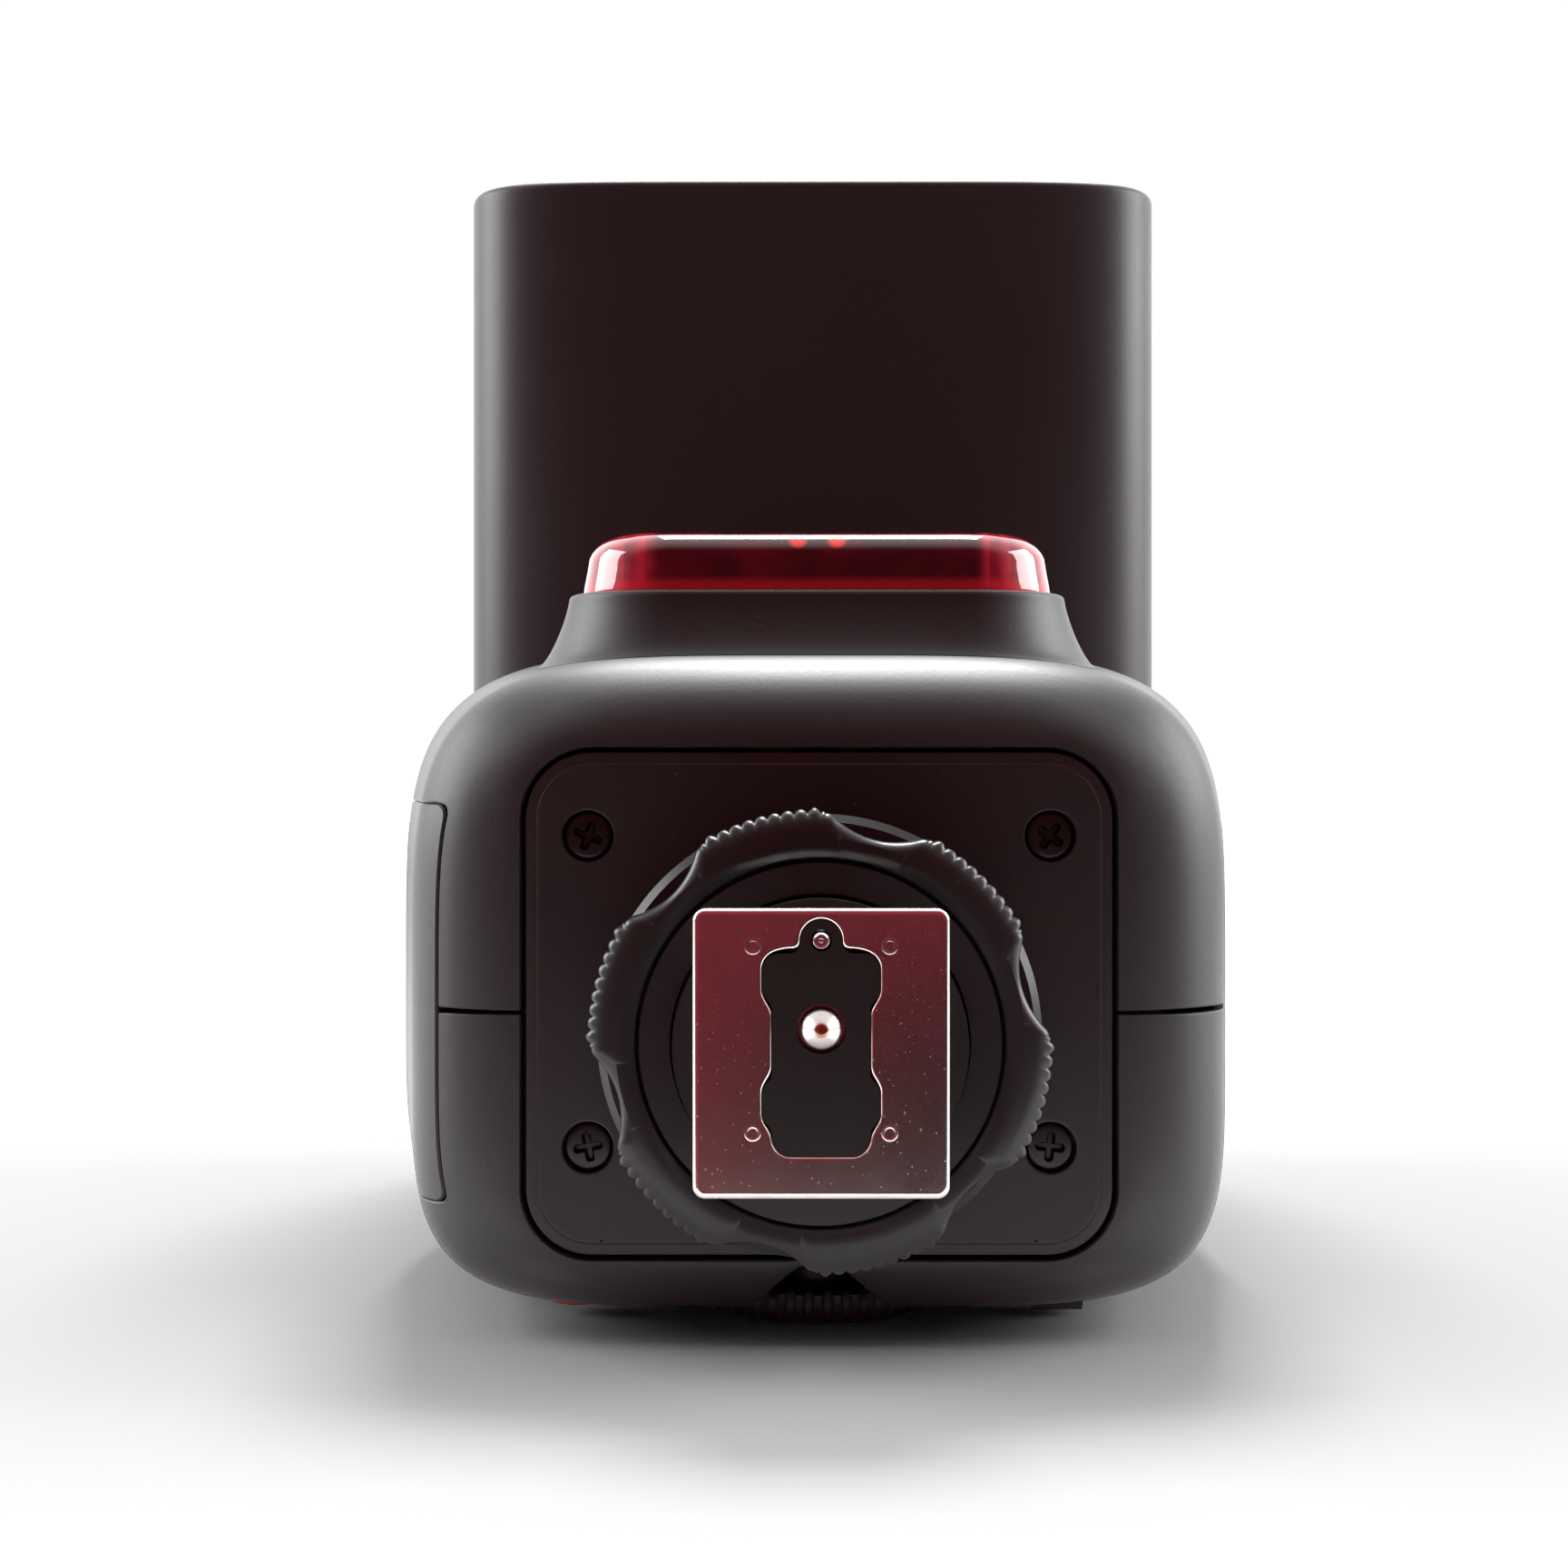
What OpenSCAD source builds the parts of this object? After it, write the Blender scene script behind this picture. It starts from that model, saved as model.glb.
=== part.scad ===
// Battery speedlight: shoe foot with lock ring, battery body and a tilting, swivelling zoom head.
// Up is +Z, the beam leaves towards -Y, the display faces +Y and the battery door is on -X.
// The origin is the centre of the foot's bottom face.

/* [Foot] */
// Width of the metal foot plate across the camera shoe
foot_w = 18.6; // [18.3:0.1:18.7]
// Length of the metal foot plate along the camera shoe
foot_l = 21; // [18:0.5:22]
// Thickness of the metal foot plate
foot_t = 2; // [1.8:0.1:2.1]
// Width of the neck that passes between the rails of the shoe
neck_w = 12.4; // [10:0.1:12.5]
// Height of the neck above the foot plate
neck_h = 3; // [2.5:0.1:4]
// Radius of the round pedestal that carries the lock ring
pedestal_r = 11; // [10.5:0.1:12]
// Diameter of the sprung centre contact
contact_d = 3; // [2.4:0.1:3.4]
// Diameter of the lock pin
pin_d = 1.3; // [1:0.1:1.6]

/* [Lock ring] */
// Outer radius of the knurled lock ring
ring_r = 17.7; // [16:0.1:21.5]
// Height of the lock ring
ring_h = 5; // [4:0.1:6]
// Distance the ring travels down its thread from released to clamped
clamp_travel = 2.4; // [1.5:0.1:2.8]
// Running clearance round the ring and the washer
ring_gap = 0.3; // [0.2:0.05:0.4]
// Number of finger scallops round the lock ring
scallop_count = 6; // [4:1:8]

/* [Body] */
// Greatest width across the two sides of the body
body_w = 76; // [75:1:92]
// Height of the bottom plate's face above the foot's bottom face
plate_z = 18; // [17.5:0.5:22]
// Width of the bottom plate
plate_w = 46.2; // [44:0.2:50]
// Depth of the bottom plate
plate_d = 39.6; // [38:0.2:44]
// Thickness of the bottom plate
plate_t = 2.4; // [2:0.1:3]
// Wall of the two body shells
shell_wall = 2.2; // [1.8:0.1:2.7]
// Free depth in front of the battery holder
front_bay = 12.2; // [10:0.1:18]
// Free depth behind the battery holder
back_bay = 7.3; // [7:0.1:12]
// Radius of the edge between the bottom and the sides
bottom_round = 8; // [6:0.5:9]
// Radius of the edge between the shoulder and the sides
top_round = 9; // [6:0.5:10]

/* [Batteries] */
// Diameter of one cell
cell_d = 14.2; // [13.5:0.1:17.2]
// Length of one cell
cell_l = 50.5; // [44:0.5:50.5]
// Clearance round a cell in its bay
cell_gap = 0.25; // [0.15:0.05:0.4]

/* [Main capacitor] */
// Diameter of the main capacitor
capacitor_d = 16; // [12:0.5:20]
// Length of the main capacitor
capacitor_l = 44; // [30:1:50]

/* [Front panel] */
// Width of the red front panel
panel_w = 40.6; // [36:0.2:46]
// Height of the red front panel
panel_h = 40; // [32:1:42]
// Depth from the rim of the mound to the crown of the panel
panel_bulge = 6.2; // [4:0.2:8]

/* [Controls] */
// Diameter of the control dial
dial_d = 18.4; // [16:0.2:19]
// Height the dial stands out of the back face
dial_out = 1.7; // [1:0.1:2.5]
// Travel of a push button
press_travel = 0.6; // [0.3:0.1:0.8]
// Clearance round a button in its opening
button_gap = 0.25; // [0.15:0.05:0.35]

/* [Head] */
// Width of the head
head_w = 73; // [70:1:88]
// Thickness of the head
head_t = 50; // [48:1:56]
// Distance from the tilt axis to the front rim of the head
head_reach = 79; // [76:1:96]
// Wall of the head shells
head_wall = 2; // [1.6:0.1:2.4]
// Travel of the zoom carriage
zoom_travel = 18; // [10:1:20]
// Distance the wide panel and the bounce card pull out
card_travel = 34; // [20:1:36]
// Width of the neck between the two ears of the head
neck_block_w = 38; // [34:1:38]

/* [Hidden] */
tiny = 0.01;
split_y = -1.5;
fix_gap = 0.05;
round_fn = 96;

// Foot
foot_corner = 0.9;
dog_lobe = 4.3;
dog_waist = 3.6;
dog_front = -7.4;
dog_back = 7.5;
nose_y = -foot_l / 2 + 2.3;
foot_screw_x = 4.95;
foot_screw_y = [-7.8, 5.7];
foot_screw_d = 1.8;
contact_out = 1.2;
contact_y = -1.8;
contact_push = 1;
pin_out = 1.6;
neck_top = foot_t + neck_h;
ring_z = neck_top + clamp_travel + 0.6;

// Lock ring
ring_bore_r = pedestal_r + ring_gap;
washer_r = ring_bore_r + 2.3;
washer_t = 1;
washer_proud = 0.3;
collar_r = ring_r - 0.5;
collar_z = ring_z + ring_h + 0.6;
scallop_r = 6.6;
scallop_depth = 1.9;
knurl_pitch = 1.05;
knurl_r = 0.3;
scallop_start = 45;

// Battery holder, stacked up from the floor of the shells
cell_pitch = cell_d + 2 * cell_gap + 0.4;
holder_wall = 0.6;
holder_half = cell_pitch / 2 + cell_d / 2 + cell_gap + holder_wall;
holder_y = -2;
floor_z = plate_z + plate_t + shell_wall;
holder_z = floor_z + 0.2;
holder_top = holder_z + 2 * holder_half;
cell_z = holder_z + holder_half;
cell_axes = [[holder_y - cell_pitch / 2, cell_z - cell_pitch / 2],
    [holder_y + cell_pitch / 2, cell_z - cell_pitch / 2],
    [holder_y - cell_pitch / 2, cell_z + cell_pitch / 2],
    [holder_y + cell_pitch / 2, cell_z + cell_pitch / 2]];

// Body outline
capacitor_z = holder_top + 0.6 + capacitor_d / 2;
top_bay = 11.1;
body_top = capacitor_z + capacitor_d / 2 + top_bay;
front_y = holder_y - holder_half - front_bay - shell_wall;
back_y = holder_y + holder_half + back_bay + shell_wall;
bulge_z = plate_z + (body_top - plate_z) * 0.62;
lower_draft = 0.13;
upper_draft = 0.06;
front_power = 4.4;
back_power = 5.2;
outline_steps = 14;
cell_x0 = -(half_w(cell_axes[0][1]) - shell_wall - 1.5);
cell_x1 = cell_x0 + cell_l;
spring_room = 2.2;
holder_x0 = cell_x0 + 1.2;
holder_x1 = cell_x1 + spring_room + 1.2;

// Bottom plate
plate_y = -2.2;
plate_corner = 5.2;
plate_groove = 0.5;
plate_ledge = 2.2;
plate_screw_x = plate_w / 2 - 4.9;
plate_screw_y = [plate_y - plate_d / 2 + 6.6, plate_y + plate_d / 2 - 8.5];
plate_screw_d = 4.05;

// Battery door
door_t = 2;
door_gap = 0.35;
door_z0 = plate_z + 3;
door_z1 = holder_top + 6.5;
door_y0 = holder_y - holder_half - 0.3;
door_y1 = holder_y + holder_half + 0.3;
hinge_r = 1.6;
hinge_pin_r = 0.8;
hinge_x = -(half_w(door_z1) - hinge_r - 0.1);
hinge_span = 11;
lug_w = 3;
door_reach_x = holder_x0 + 2.5;

// Front panel and its mound
mound_y = front_y - 3.9;
panel_z0 = plate_z + 15;
panel_corner = 8;

// Back controls
display_w = 38;
display_h = 21;
display_z = body_top - 16;
menu_z = display_z - display_h / 2 - 5;
dial_z = menu_z - 14.5;
dial_ribs = 36;
side_control_x = 20;
button_d = 5.6;
scoop_r = 8.2;
scoop_tip_r = 2.5;
board_y = back_y - shell_wall - 5;
board_t = 1.4;
back_face = back_y + 0.02;

// Port on the side away from the battery door
port_y = 8;
port_z = bulge_z + 9;
port_w = 12;
port_h = 10;
jack_bore_r = 1.27;
cover_t = 1.5;
cover_x = half_w(port_z) - 0.95;

// Turret and tilt axis
tilt_y = -3;
head_gap = 0.6;
disc_t = 1.1;
barrel_r = head_t / 2 - 1;
neck_foot = 35;
tilt_z = body_top + 4.5 + head_t / 2;
turret_r = 20;
turret_gap = 0.3;
axle_r = 4;
ear_x = neck_block_w / 2 + head_gap;

// Head
head_front = tilt_y - head_reach;
head_power = 6;
notch_front = tilt_y - head_t / 2 - 0.6;
bezel_w = head_w - 9;
bezel_h = head_t - 13;
bezel_z = tilt_z - 3;
lens_t = 2.4;
lens_y = head_front + 1.6;
slot_z = tilt_z + head_t / 2 - head_wall - 3.6;
slot_h = 3.2;
slot_w = head_w - 14;
card_l = card_travel + 14;
reflector_w = bezel_w - 6;
reflector_h = 24;
reflector_l = 19;
reflector_rear = 4.2;
reflector_y = lens_y + lens_t + 1.4 + zoom_travel;
tube_r = 2.2;
rod_z = tilt_z - head_t / 2 + head_wall + 6;
rod_x = head_w / 2 - 9.2;
rod_r = 1.25;
screw_r = 1.5;
rod_front = lens_y + lens_t + 1.2;
rod_back = notch_front - 3;
screw_pitch = 3;
head_screw_x = head_w / 2 - 9;
head_screw_y = head_front + 14;
head_screw_z = tilt_z - under_depth(head_screw_x + 1.8) + 0.5;

function draft(z) = z < bulge_z
    ? 1 - lower_draft * (bulge_z - z) / (bulge_z - plate_z)
    : 1 - upper_draft * pow((z - bulge_z) / (body_top - bulge_z), 2);
function edge_inset(z, cut) =
    let (rb = bottom_round - cut, rt = top_round - cut)
    let (low = max(0, plate_z + cut + rb - z), high = max(0, z - (body_top - cut - rt)))
    (rb - sqrt(max(0, rb * rb - low * low))) + (rt - sqrt(max(0, rt * rt - high * high)));
function half_w(z) = body_w / 2 * draft(z) - edge_inset(z, 0);
function under_depth(x) = head_t / 2 * pow(1 - pow(x / (head_w / 2), head_power), 1 / head_power);
function signed_power(v, e) = sign(v) * pow(abs(v), e);
// One quarter-symmetric superellipse with its own reach and exponent to the front and to the back
function body_outline(half, front, back) = [for (i = [0:4 * outline_steps - 1])
    let (a = 360 * i / (4 * outline_steps))
    let (n = sin(a) < 0 ? front_power : back_power)
    [half * signed_power(cos(a), 2 / n),
        split_y + (sin(a) < 0 ? front : back) * signed_power(sin(a), 2 / n)]];
function squircle(half_x, half_y, n, steps = 15) = [for (i = [0:4 * steps - 1])
    let (a = 360 * i / (4 * steps))
    [half_x * signed_power(cos(a), 2 / n), half_y * signed_power(sin(a), 2 / n)]];

// The body's outer form, shrunk by cut on every side, with its floor lifted to floor_lift
module body_form(cut = 0, floor_lift = 0) {
    z0 = max(plate_z + cut, floor_lift);
    z1 = body_top - cut;
    rb = bottom_round - cut;
    rt = top_round - cut;
    levels = concat([for (a = [0:15:90]) z0 + rb * (1 - cos(a))],
        [bulge_z],
        [for (k = [1:3]) bulge_z + (z1 - rt - bulge_z) * k / 4],
        [for (a = [90:-15:0]) z1 - rt * (1 - cos(a))]);
    hull() {
        for (z = levels) {
            low = max(0, z0 + rb - z);
            high = max(0, z - (z1 - rt));
            inset = rb - sqrt(max(0, rb * rb - low * low)) + rt - sqrt(max(0, rt * rt - high * high));
            front_half = (split_y - front_y) * (draft(z) + 1) / 2 - cut - inset;
            back_half = back_y - split_y - cut - inset;
            translate([0, 0, z - tiny / 2])
                linear_extrude(tiny)
                    polygon(body_outline(body_w / 2 * draft(z) - cut - inset, front_half, back_half));
        }
    }
}

module rounded_rect(w, h, r) {
    offset(r, $fn = 48) square([w - 2 * r, h - 2 * r], center = true);
}

// A slab with rounded corners that stands on the XZ plane and reaches from y0 to y1
module upright_slab(w, h, r, y0, y1) {
    translate([0, y1, 0]) rotate([90, 0, 0]) linear_extrude(y1 - y0) rounded_rect(w, h, r);
}

module mound() {
    translate([0, 0, panel_z0 + panel_h / 2]) {
        hull() {
            upright_slab(panel_w + 2.4, panel_h + 2.4, panel_corner + 1.2, mound_y, mound_y + 0.1);
            upright_slab(panel_w + 3.2, panel_h + 3.2, panel_corner + 1.6, front_y - 1.4, front_y - 1.3);
            upright_slab(panel_w + 8, panel_h + 7, panel_corner + 3, front_y + 2.4, front_y + 3);
        }
    }
}

module half_space(front) {
    y0 = front ? front_y - 20 : split_y;
    y1 = front ? split_y : back_y + 20;
    translate([-body_w, y0, plate_z - 1]) cube([2 * body_w, y1 - y0, body_top]);
}

// Everything that is cut out of both shells
module shell_cuts() {
    body_form(shell_wall, floor_z);
    // Seat of the bottom plate and the opening inside its ledge
    translate([0, plate_y, plate_z - 1])
        linear_extrude(plate_t + 1)
            rounded_rect(plate_w + 2 * plate_groove, plate_d + 2 * plate_groove, plate_corner + plate_groove);
    translate([0, plate_y, plate_z])
        linear_extrude(plate_t + shell_wall + 1)
            rounded_rect(plate_w - 4 * plate_ledge, plate_d - 2 * plate_ledge, plate_corner);
    for (sx = [-1, 1], y = plate_screw_y)
        translate([sx * plate_screw_x, y, plate_z + 1]) cylinder(d = 2.2, h = plate_t + shell_wall + 1, $fn = 24);
    // Opening of the battery door, with room for its hinge
    translate([-body_w, door_y0 - door_gap, door_z0 - door_gap])
        cube([body_w + door_reach_x, door_y1 - door_y0 + 2 * door_gap, door_z1 - door_z0 + 2 * door_gap + hinge_r]);
    // Opening of the turret
    translate([0, tilt_y, body_top - 10]) cylinder(r = turret_r + turret_gap, h = 20, $fn = round_fn);
    // Parting groove
    difference() {
        translate([-body_w, split_y - 0.35, plate_z - 1]) cube([2 * body_w, 0.7, body_top]);
        body_form(0.7);
    }
}

module front_shell() color([0.13, 0.13, 0.14]) {
    difference() {
        union() {
            intersection() {
                body_form();
                half_space(true);
            }
            mound();
        }
        shell_cuts();
        // Window behind the front panel
        translate([0, 0, panel_z0 + panel_h / 2])
            upright_slab(panel_w - 3, panel_h - 3, panel_corner - 1.5, mound_y - 1, front_y + 6);
    }
    hinge_lug(holder_y - hinge_span + 0.05);
}

// Funnel for the thumb, from under the dial down to the edge of the bottom plate
module thumb_scoop() {
    translate([0, back_y + 4.5, dial_z - dial_d / 2 + 2]) rotate([149, 0, 0])
        hull() {
            cylinder(r = scoop_r, h = 0.1, $fn = 32);
            translate([0, 0, 14]) cylinder(r = scoop_tip_r, h = 0.1, $fn = 32);
        }
}

module rear_shell() color([0.13, 0.13, 0.14]) {
    difference() {
        union() {
            difference() {
                intersection() {
                    body_form();
                    half_space(false);
                }
                shell_cuts();
            }
            // Backing that keeps the scoop closed towards the inside
            translate([-10, back_y - 5.4, floor_z - 0.5]) cube([20, 3.8, dial_z - floor_z - 2.6]);
        }
        thumb_scoop();
        // Display, buttons, dial, switch and thumb scoop
        translate([0, 0, display_z]) upright_slab(display_w, display_h, 1.5, back_y - 6, back_y + 3);
        for (p = menu_places()) button_hole(p);
        for (p = side_places()) button_hole(p);
        translate([-side_control_x, back_y - 4, dial_z - 2]) rotate([-90, 0, 0])
            cylinder(d = button_d + 2 * button_gap, h = 8, $fn = 48);
        translate([0, back_y - 1.2, dial_z]) rotate([-90, 0, 0])
            cylinder(d = dial_d + 0.8, h = 8, $fn = round_fn);
        translate([0, back_y - 6, dial_z]) rotate([-90, 0, 0]) cylinder(r = 4.6, h = 8, $fn = 64);
        translate([side_control_x - 2.4, back_y - 6, dial_z - 7.6]) cube([4.8, 10, 9.2]);
        // Port opening and the seat of its cover
        translate([half_w(port_z) - shell_wall - 3, port_y - port_w / 2 + 1, port_z - port_h / 2 + 1])
            cube([shell_wall + 6, port_w - 2, port_h - 2]);
        translate([half_w(port_z) - 2, port_y - port_w / 2 - 0.3, port_z - port_h / 2 - 0.3])
            cube([6, port_w + 0.6, port_h + 0.6]);
    }
    hinge_lug(holder_y + hinge_span - lug_w - 0.05);
}

// Lug on the inside of a shell that holds one end of the door's hinge pin
module hinge_lug(y) {
    difference() {
        union() {
            translate([hinge_x, y, door_z1]) rotate([-90, 0, 0]) cylinder(r = hinge_r, h = lug_w, $fn = 48);
            translate([hinge_x - 0.4, y, door_z1]) cube([hinge_r + 1.6, lug_w, hinge_r + 2.6]);
        }
        translate([hinge_x, y - 1, door_z1]) rotate([-90, 0, 0])
            cylinder(r = hinge_pin_r + fix_gap, h = lug_w + 2, $fn = 48);
    }
}

module battery_door() color([0.15, 0.15, 0.16]) {
    difference() {
        intersection() {
            difference() {
                body_form();
                body_form(door_t);
            }
            translate([-body_w, door_y0, door_z0])
                cube([body_w + door_reach_x - door_gap, door_y1 - door_y0, door_z1 - door_z0]);
        }
        for (y = [holder_y - hinge_span, holder_y + hinge_span - lug_w])
            translate([-body_w, y - 0.3, door_z1 - hinge_r - 0.6]) cube([body_w, lug_w + 0.6, 4]);
        translate([hinge_x, door_y0, door_z1]) rotate([-90, 0, 0])
            cylinder(r = hinge_pin_r + fix_gap, h = 2 * holder_half + 2, $fn = 48);
    }
    for (y = [holder_y - hinge_span + lug_w + 0.4, holder_y + 2])
        difference() {
            union() {
                translate([hinge_x, y, door_z1]) rotate([-90, 0, 0]) cylinder(r = hinge_r, h = 5, $fn = 48);
                translate([hinge_x - hinge_r + 0.1, y, door_z1 - 2.6]) cube([1.3, 5, 2.6]);
            }
            translate([hinge_x, y - 1, door_z1]) rotate([-90, 0, 0])
                cylinder(r = hinge_pin_r + fix_gap, h = 7, $fn = 48);
        }
}

module door_pin() color("silver") {
    translate([hinge_x, holder_y - hinge_span, door_z1]) rotate([-90, 0, 0])
        cylinder(r = hinge_pin_r, h = 2 * hinge_span, $fn = 48);
}

// Two sprung strips on the inside of the door that join the cells in pairs
module door_contacts() color("gold") {
    for (k = [0, 2]) {
        x = -(half_w(cell_axes[k][1]) - door_t) + 0.7;
        translate([x, holder_y - cell_pitch / 2 - 4, cell_axes[k][1] - 2]) cube([0.5, cell_pitch + 8, 4]);
        for (p = [cell_axes[k], cell_axes[k + 1]])
            translate([x, p[0], p[1]]) rotate([0, 90, 0])
                cylinder(r1 = 2, r2 = 1.4, h = cell_x0 - x - 0.15, $fn = 32);
    }
}

module battery_holder() color([0.2, 0.2, 0.21]) {
    difference() {
        translate([holder_x0, holder_y - holder_half, holder_z])
            cube([holder_x1 - holder_x0, 2 * holder_half, 2 * holder_half]);
        for (p = cell_axes)
            translate([holder_x0 - 1, p[0], p[1]]) rotate([0, 90, 0])
                cylinder(r = cell_d / 2 + cell_gap, h = cell_x1 + spring_room - holder_x0 + 1, $fn = 64);
    }
}

module cell(k) {
    p = cell_axes[k];
    flip = k % 2 == 0;
    cap = 1.2;
    color([0.25, 0.3, 0.33]) {
        translate([cell_x0 + (flip ? cap : 0), p[0], p[1]]) rotate([0, 90, 0])
            cylinder(d = cell_d, h = cell_l - cap, $fn = 64);
        translate([flip ? cell_x0 : cell_x1 - cap, p[0], p[1]]) rotate([0, 90, 0])
            cylinder(r = 2.6, h = cap, $fn = 48);
    }
}
module cell_1() cell(0);
module cell_2() cell(1);
module cell_3() cell(2);
module cell_4() cell(3);

// Stacked rings stand for the conical springs at the closed end of the bays
module cell_springs() color("silver") {
    for (p = cell_axes)
        translate([cell_x1 + 0.1, p[0], p[1]]) rotate([0, 90, 0]) {
            cylinder(r = 2.2, h = spring_room - 0.9, $fn = 48);
            translate([0, 0, spring_room - 0.9]) cylinder(r = 4.6, h = 0.7, $fn = 48);
        }
}

module main_capacitor() color([0.1, 0.12, 0.2]) {
    translate([-capacitor_l / 2, holder_y, capacitor_z]) rotate([0, 90, 0])
        cylinder(d = capacitor_d, h = capacitor_l, $fn = round_fn);
    for (dy = [-3, 3])
        translate([capacitor_l / 2, holder_y + dy, capacitor_z]) rotate([0, 90, 0])
            cylinder(r = 0.6, h = 3, $fn = 24);
}

module power_board() color([0.1, 0.35, 0.2]) {
    translate([holder_x1 + 0.1, holder_y - 11, holder_z + 3]) cube([1.4, 22, holder_top - holder_z - 3.5]);
}

module power_transformer() color([0.5, 0.32, 0.12]) {
    x = holder_x1 + 1.5;
    translate([x, holder_y - 7, cell_z - 2]) cube([5, 14, 12]);
    translate([x, holder_y - 8.5, cell_z]) cube([3, 17, 8]);
}

module main_board() color([0.1, 0.35, 0.2]) {
    translate([-26, board_y, holder_z + 4]) cube([52, board_t, body_top - holder_z - 15]);
}

// Solid slab with a crowned front: every level of the crown is a smaller rounded rectangle
module front_panel() color([0.45, 0.02, 0.06], 0.85) {
    translate([0, 0, panel_z0 + panel_h / 2]) {
        difference() {
            hull() {
                upright_slab(panel_w, panel_h, panel_corner, mound_y - 3.6, mound_y);
                upright_slab(panel_w - 2.4, panel_h - 2.4, panel_corner - 0.8, mound_y - 5, mound_y);
                upright_slab(panel_w - 12, panel_h - 12, panel_corner - 2, mound_y - panel_bulge, mound_y);
            }
            upright_slab(panel_w - 4, panel_h - 4, panel_corner - 2, mound_y - 3.2, mound_y + 1);
        }
    }
}

module assist_leds() color([0.9, 0.1, 0.1]) {
    z = panel_z0 + 9;
    translate([-8, front_y + 2.6, z - 5]) cube([16, 1.2, 10]);
    for (dx = [-1.8, 1.8])
        translate([dx, front_y + 2.6, z]) rotate([90, 0, 0]) {
            cylinder(r = 1.5, h = 3.6, $fn = 48);
            translate([0, 0, 3.6]) sphere(r = 1.5, $fn = 48);
        }
}

module display_window() color([0.3, 0.35, 0.3], 0.6) {
    translate([0, 0, display_z])
        upright_slab(display_w - 0.4, display_h - 0.4, 1.3, back_y - shell_wall, back_y + 0.3);
}

module display_module() color([0.55, 0.6, 0.5]) {
    translate([0, 0, display_z])
        upright_slab(display_w - 2, display_h - 2, 0.6, board_y + board_t, back_y - shell_wall - 0.1);
}

function menu_places() = [for (i = [0:3]) [-13.5 + 9 * i, menu_z]];
function side_places() = [[-side_control_x, dial_z + 8.5], [side_control_x, dial_z + 8.5]];

module button_hole(p) {
    translate([p[0], back_y - 6, p[1]]) rotate([-90, 0, 0])
        cylinder(d = button_d + 2 * button_gap, h = 10, $fn = 48);
}

// Round push button with a domed cap, a flange inside the shell and a stem towards its switch
module push_button(p) {
    translate([p[0], back_face + press_travel + 0.3, p[1]]) rotate([90, 0, 0]) {
        cylinder(d1 = button_d - 0.8, d2 = button_d, h = 0.4, $fn = 48);
        translate([0, 0, 0.4]) cylinder(d = button_d, h = shell_wall + 1.8, $fn = 48);
        translate([0, 0, shell_wall + 2.2]) cylinder(d = button_d + 1.2, h = 0.5, $fn = 48);
        translate([0, 0, shell_wall + 2.7]) cylinder(d = 2, h = 0.8, $fn = 32);
    }
}
module menu_button_1() color([0.2, 0.2, 0.21]) push_button(menu_places()[0]);
module menu_button_2() color([0.2, 0.2, 0.21]) push_button(menu_places()[1]);
module menu_button_3() color([0.2, 0.2, 0.21]) push_button(menu_places()[2]);
module menu_button_4() color([0.2, 0.2, 0.21]) push_button(menu_places()[3]);
module wireless_button() color([0.2, 0.2, 0.21]) push_button(side_places()[0]);
module zoom_button() color([0.2, 0.2, 0.21]) push_button(side_places()[1]);
module test_button() color([0.7, 0.1, 0.1]) push_button([-side_control_x, dial_z - 2]);

module control_dial() color([0.15, 0.15, 0.16]) {
    translate([0, back_y - 0.9, dial_z]) rotate([-90, 0, 0])
        difference() {
            union() {
                cylinder(d = dial_d - 0.8, h = dial_out + 0.9, $fn = round_fn);
                for (i = [0:dial_ribs - 1])
                    rotate([0, 0, i * 360 / dial_ribs]) translate([dial_d / 2 - 0.5, 0, 0])
                        cylinder(r = 0.5, h = dial_out + 0.5, $fn = 16);
                translate([0, 0, -3.2]) cylinder(r = 4.3, h = 3.4, $fn = 64);
            }
            translate([0, 0, -4]) cylinder(r = 3.3, h = 12, $fn = 64);
            translate([0, 0, dial_out - 0.2]) cylinder(r = 6, h = 4, $fn = 64);
        }
}

module set_button() color([0.2, 0.2, 0.21]) {
    translate([0, back_y - 4.3, dial_z]) rotate([-90, 0, 0]) {
        cylinder(r = 3, h = dial_out + 3.9, $fn = 64);
        translate([0, 0, dial_out + 3.9]) cylinder(r1 = 3, r2 = 2.6, h = 0.4, $fn = 64);
    }
}

module power_switch() color([0.2, 0.2, 0.21]) {
    translate([side_control_x - 2.1, back_y - 2.6, dial_z - 4]) cube([4.2, 3.6, 5]);
    for (i = [0:3])
        translate([side_control_x - 2.1, back_y + 1, dial_z - 3.6 + 1.2 * i]) cube([4.2, 0.4, 0.6]);
    translate([side_control_x - 3, back_y - 4.2, dial_z - 4.6]) cube([6, 0.7, 6.2]);
    translate([side_control_x - 1, back_y - 3.6, dial_z - 3]) cube([2, 1.1, 3]);
}

module port_cover() color([0.08, 0.08, 0.08]) {
    difference() {
        union() {
            translate([cover_x - cover_t / 2, port_y - port_w / 2, port_z - port_h / 2])
                cube([cover_t, port_w, port_h - cover_t / 2]);
            translate([cover_x, port_y - port_w / 2, port_z + port_h / 2 - cover_t / 2]) rotate([-90, 0, 0])
                cylinder(d = cover_t, h = port_w, $fn = 48);
        }
        translate([half_w(port_z) - 0.5, port_y - 1, port_z - port_h / 2 - 1]) cube([1, 2, 2]);
    }
    translate([half_w(port_z) - 1.9, port_y + 1.2, port_z]) rotate([0, 90, 0])
        cylinder(r = jack_bore_r - 0.27, h = 0.3, $fn = 32);
}

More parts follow.
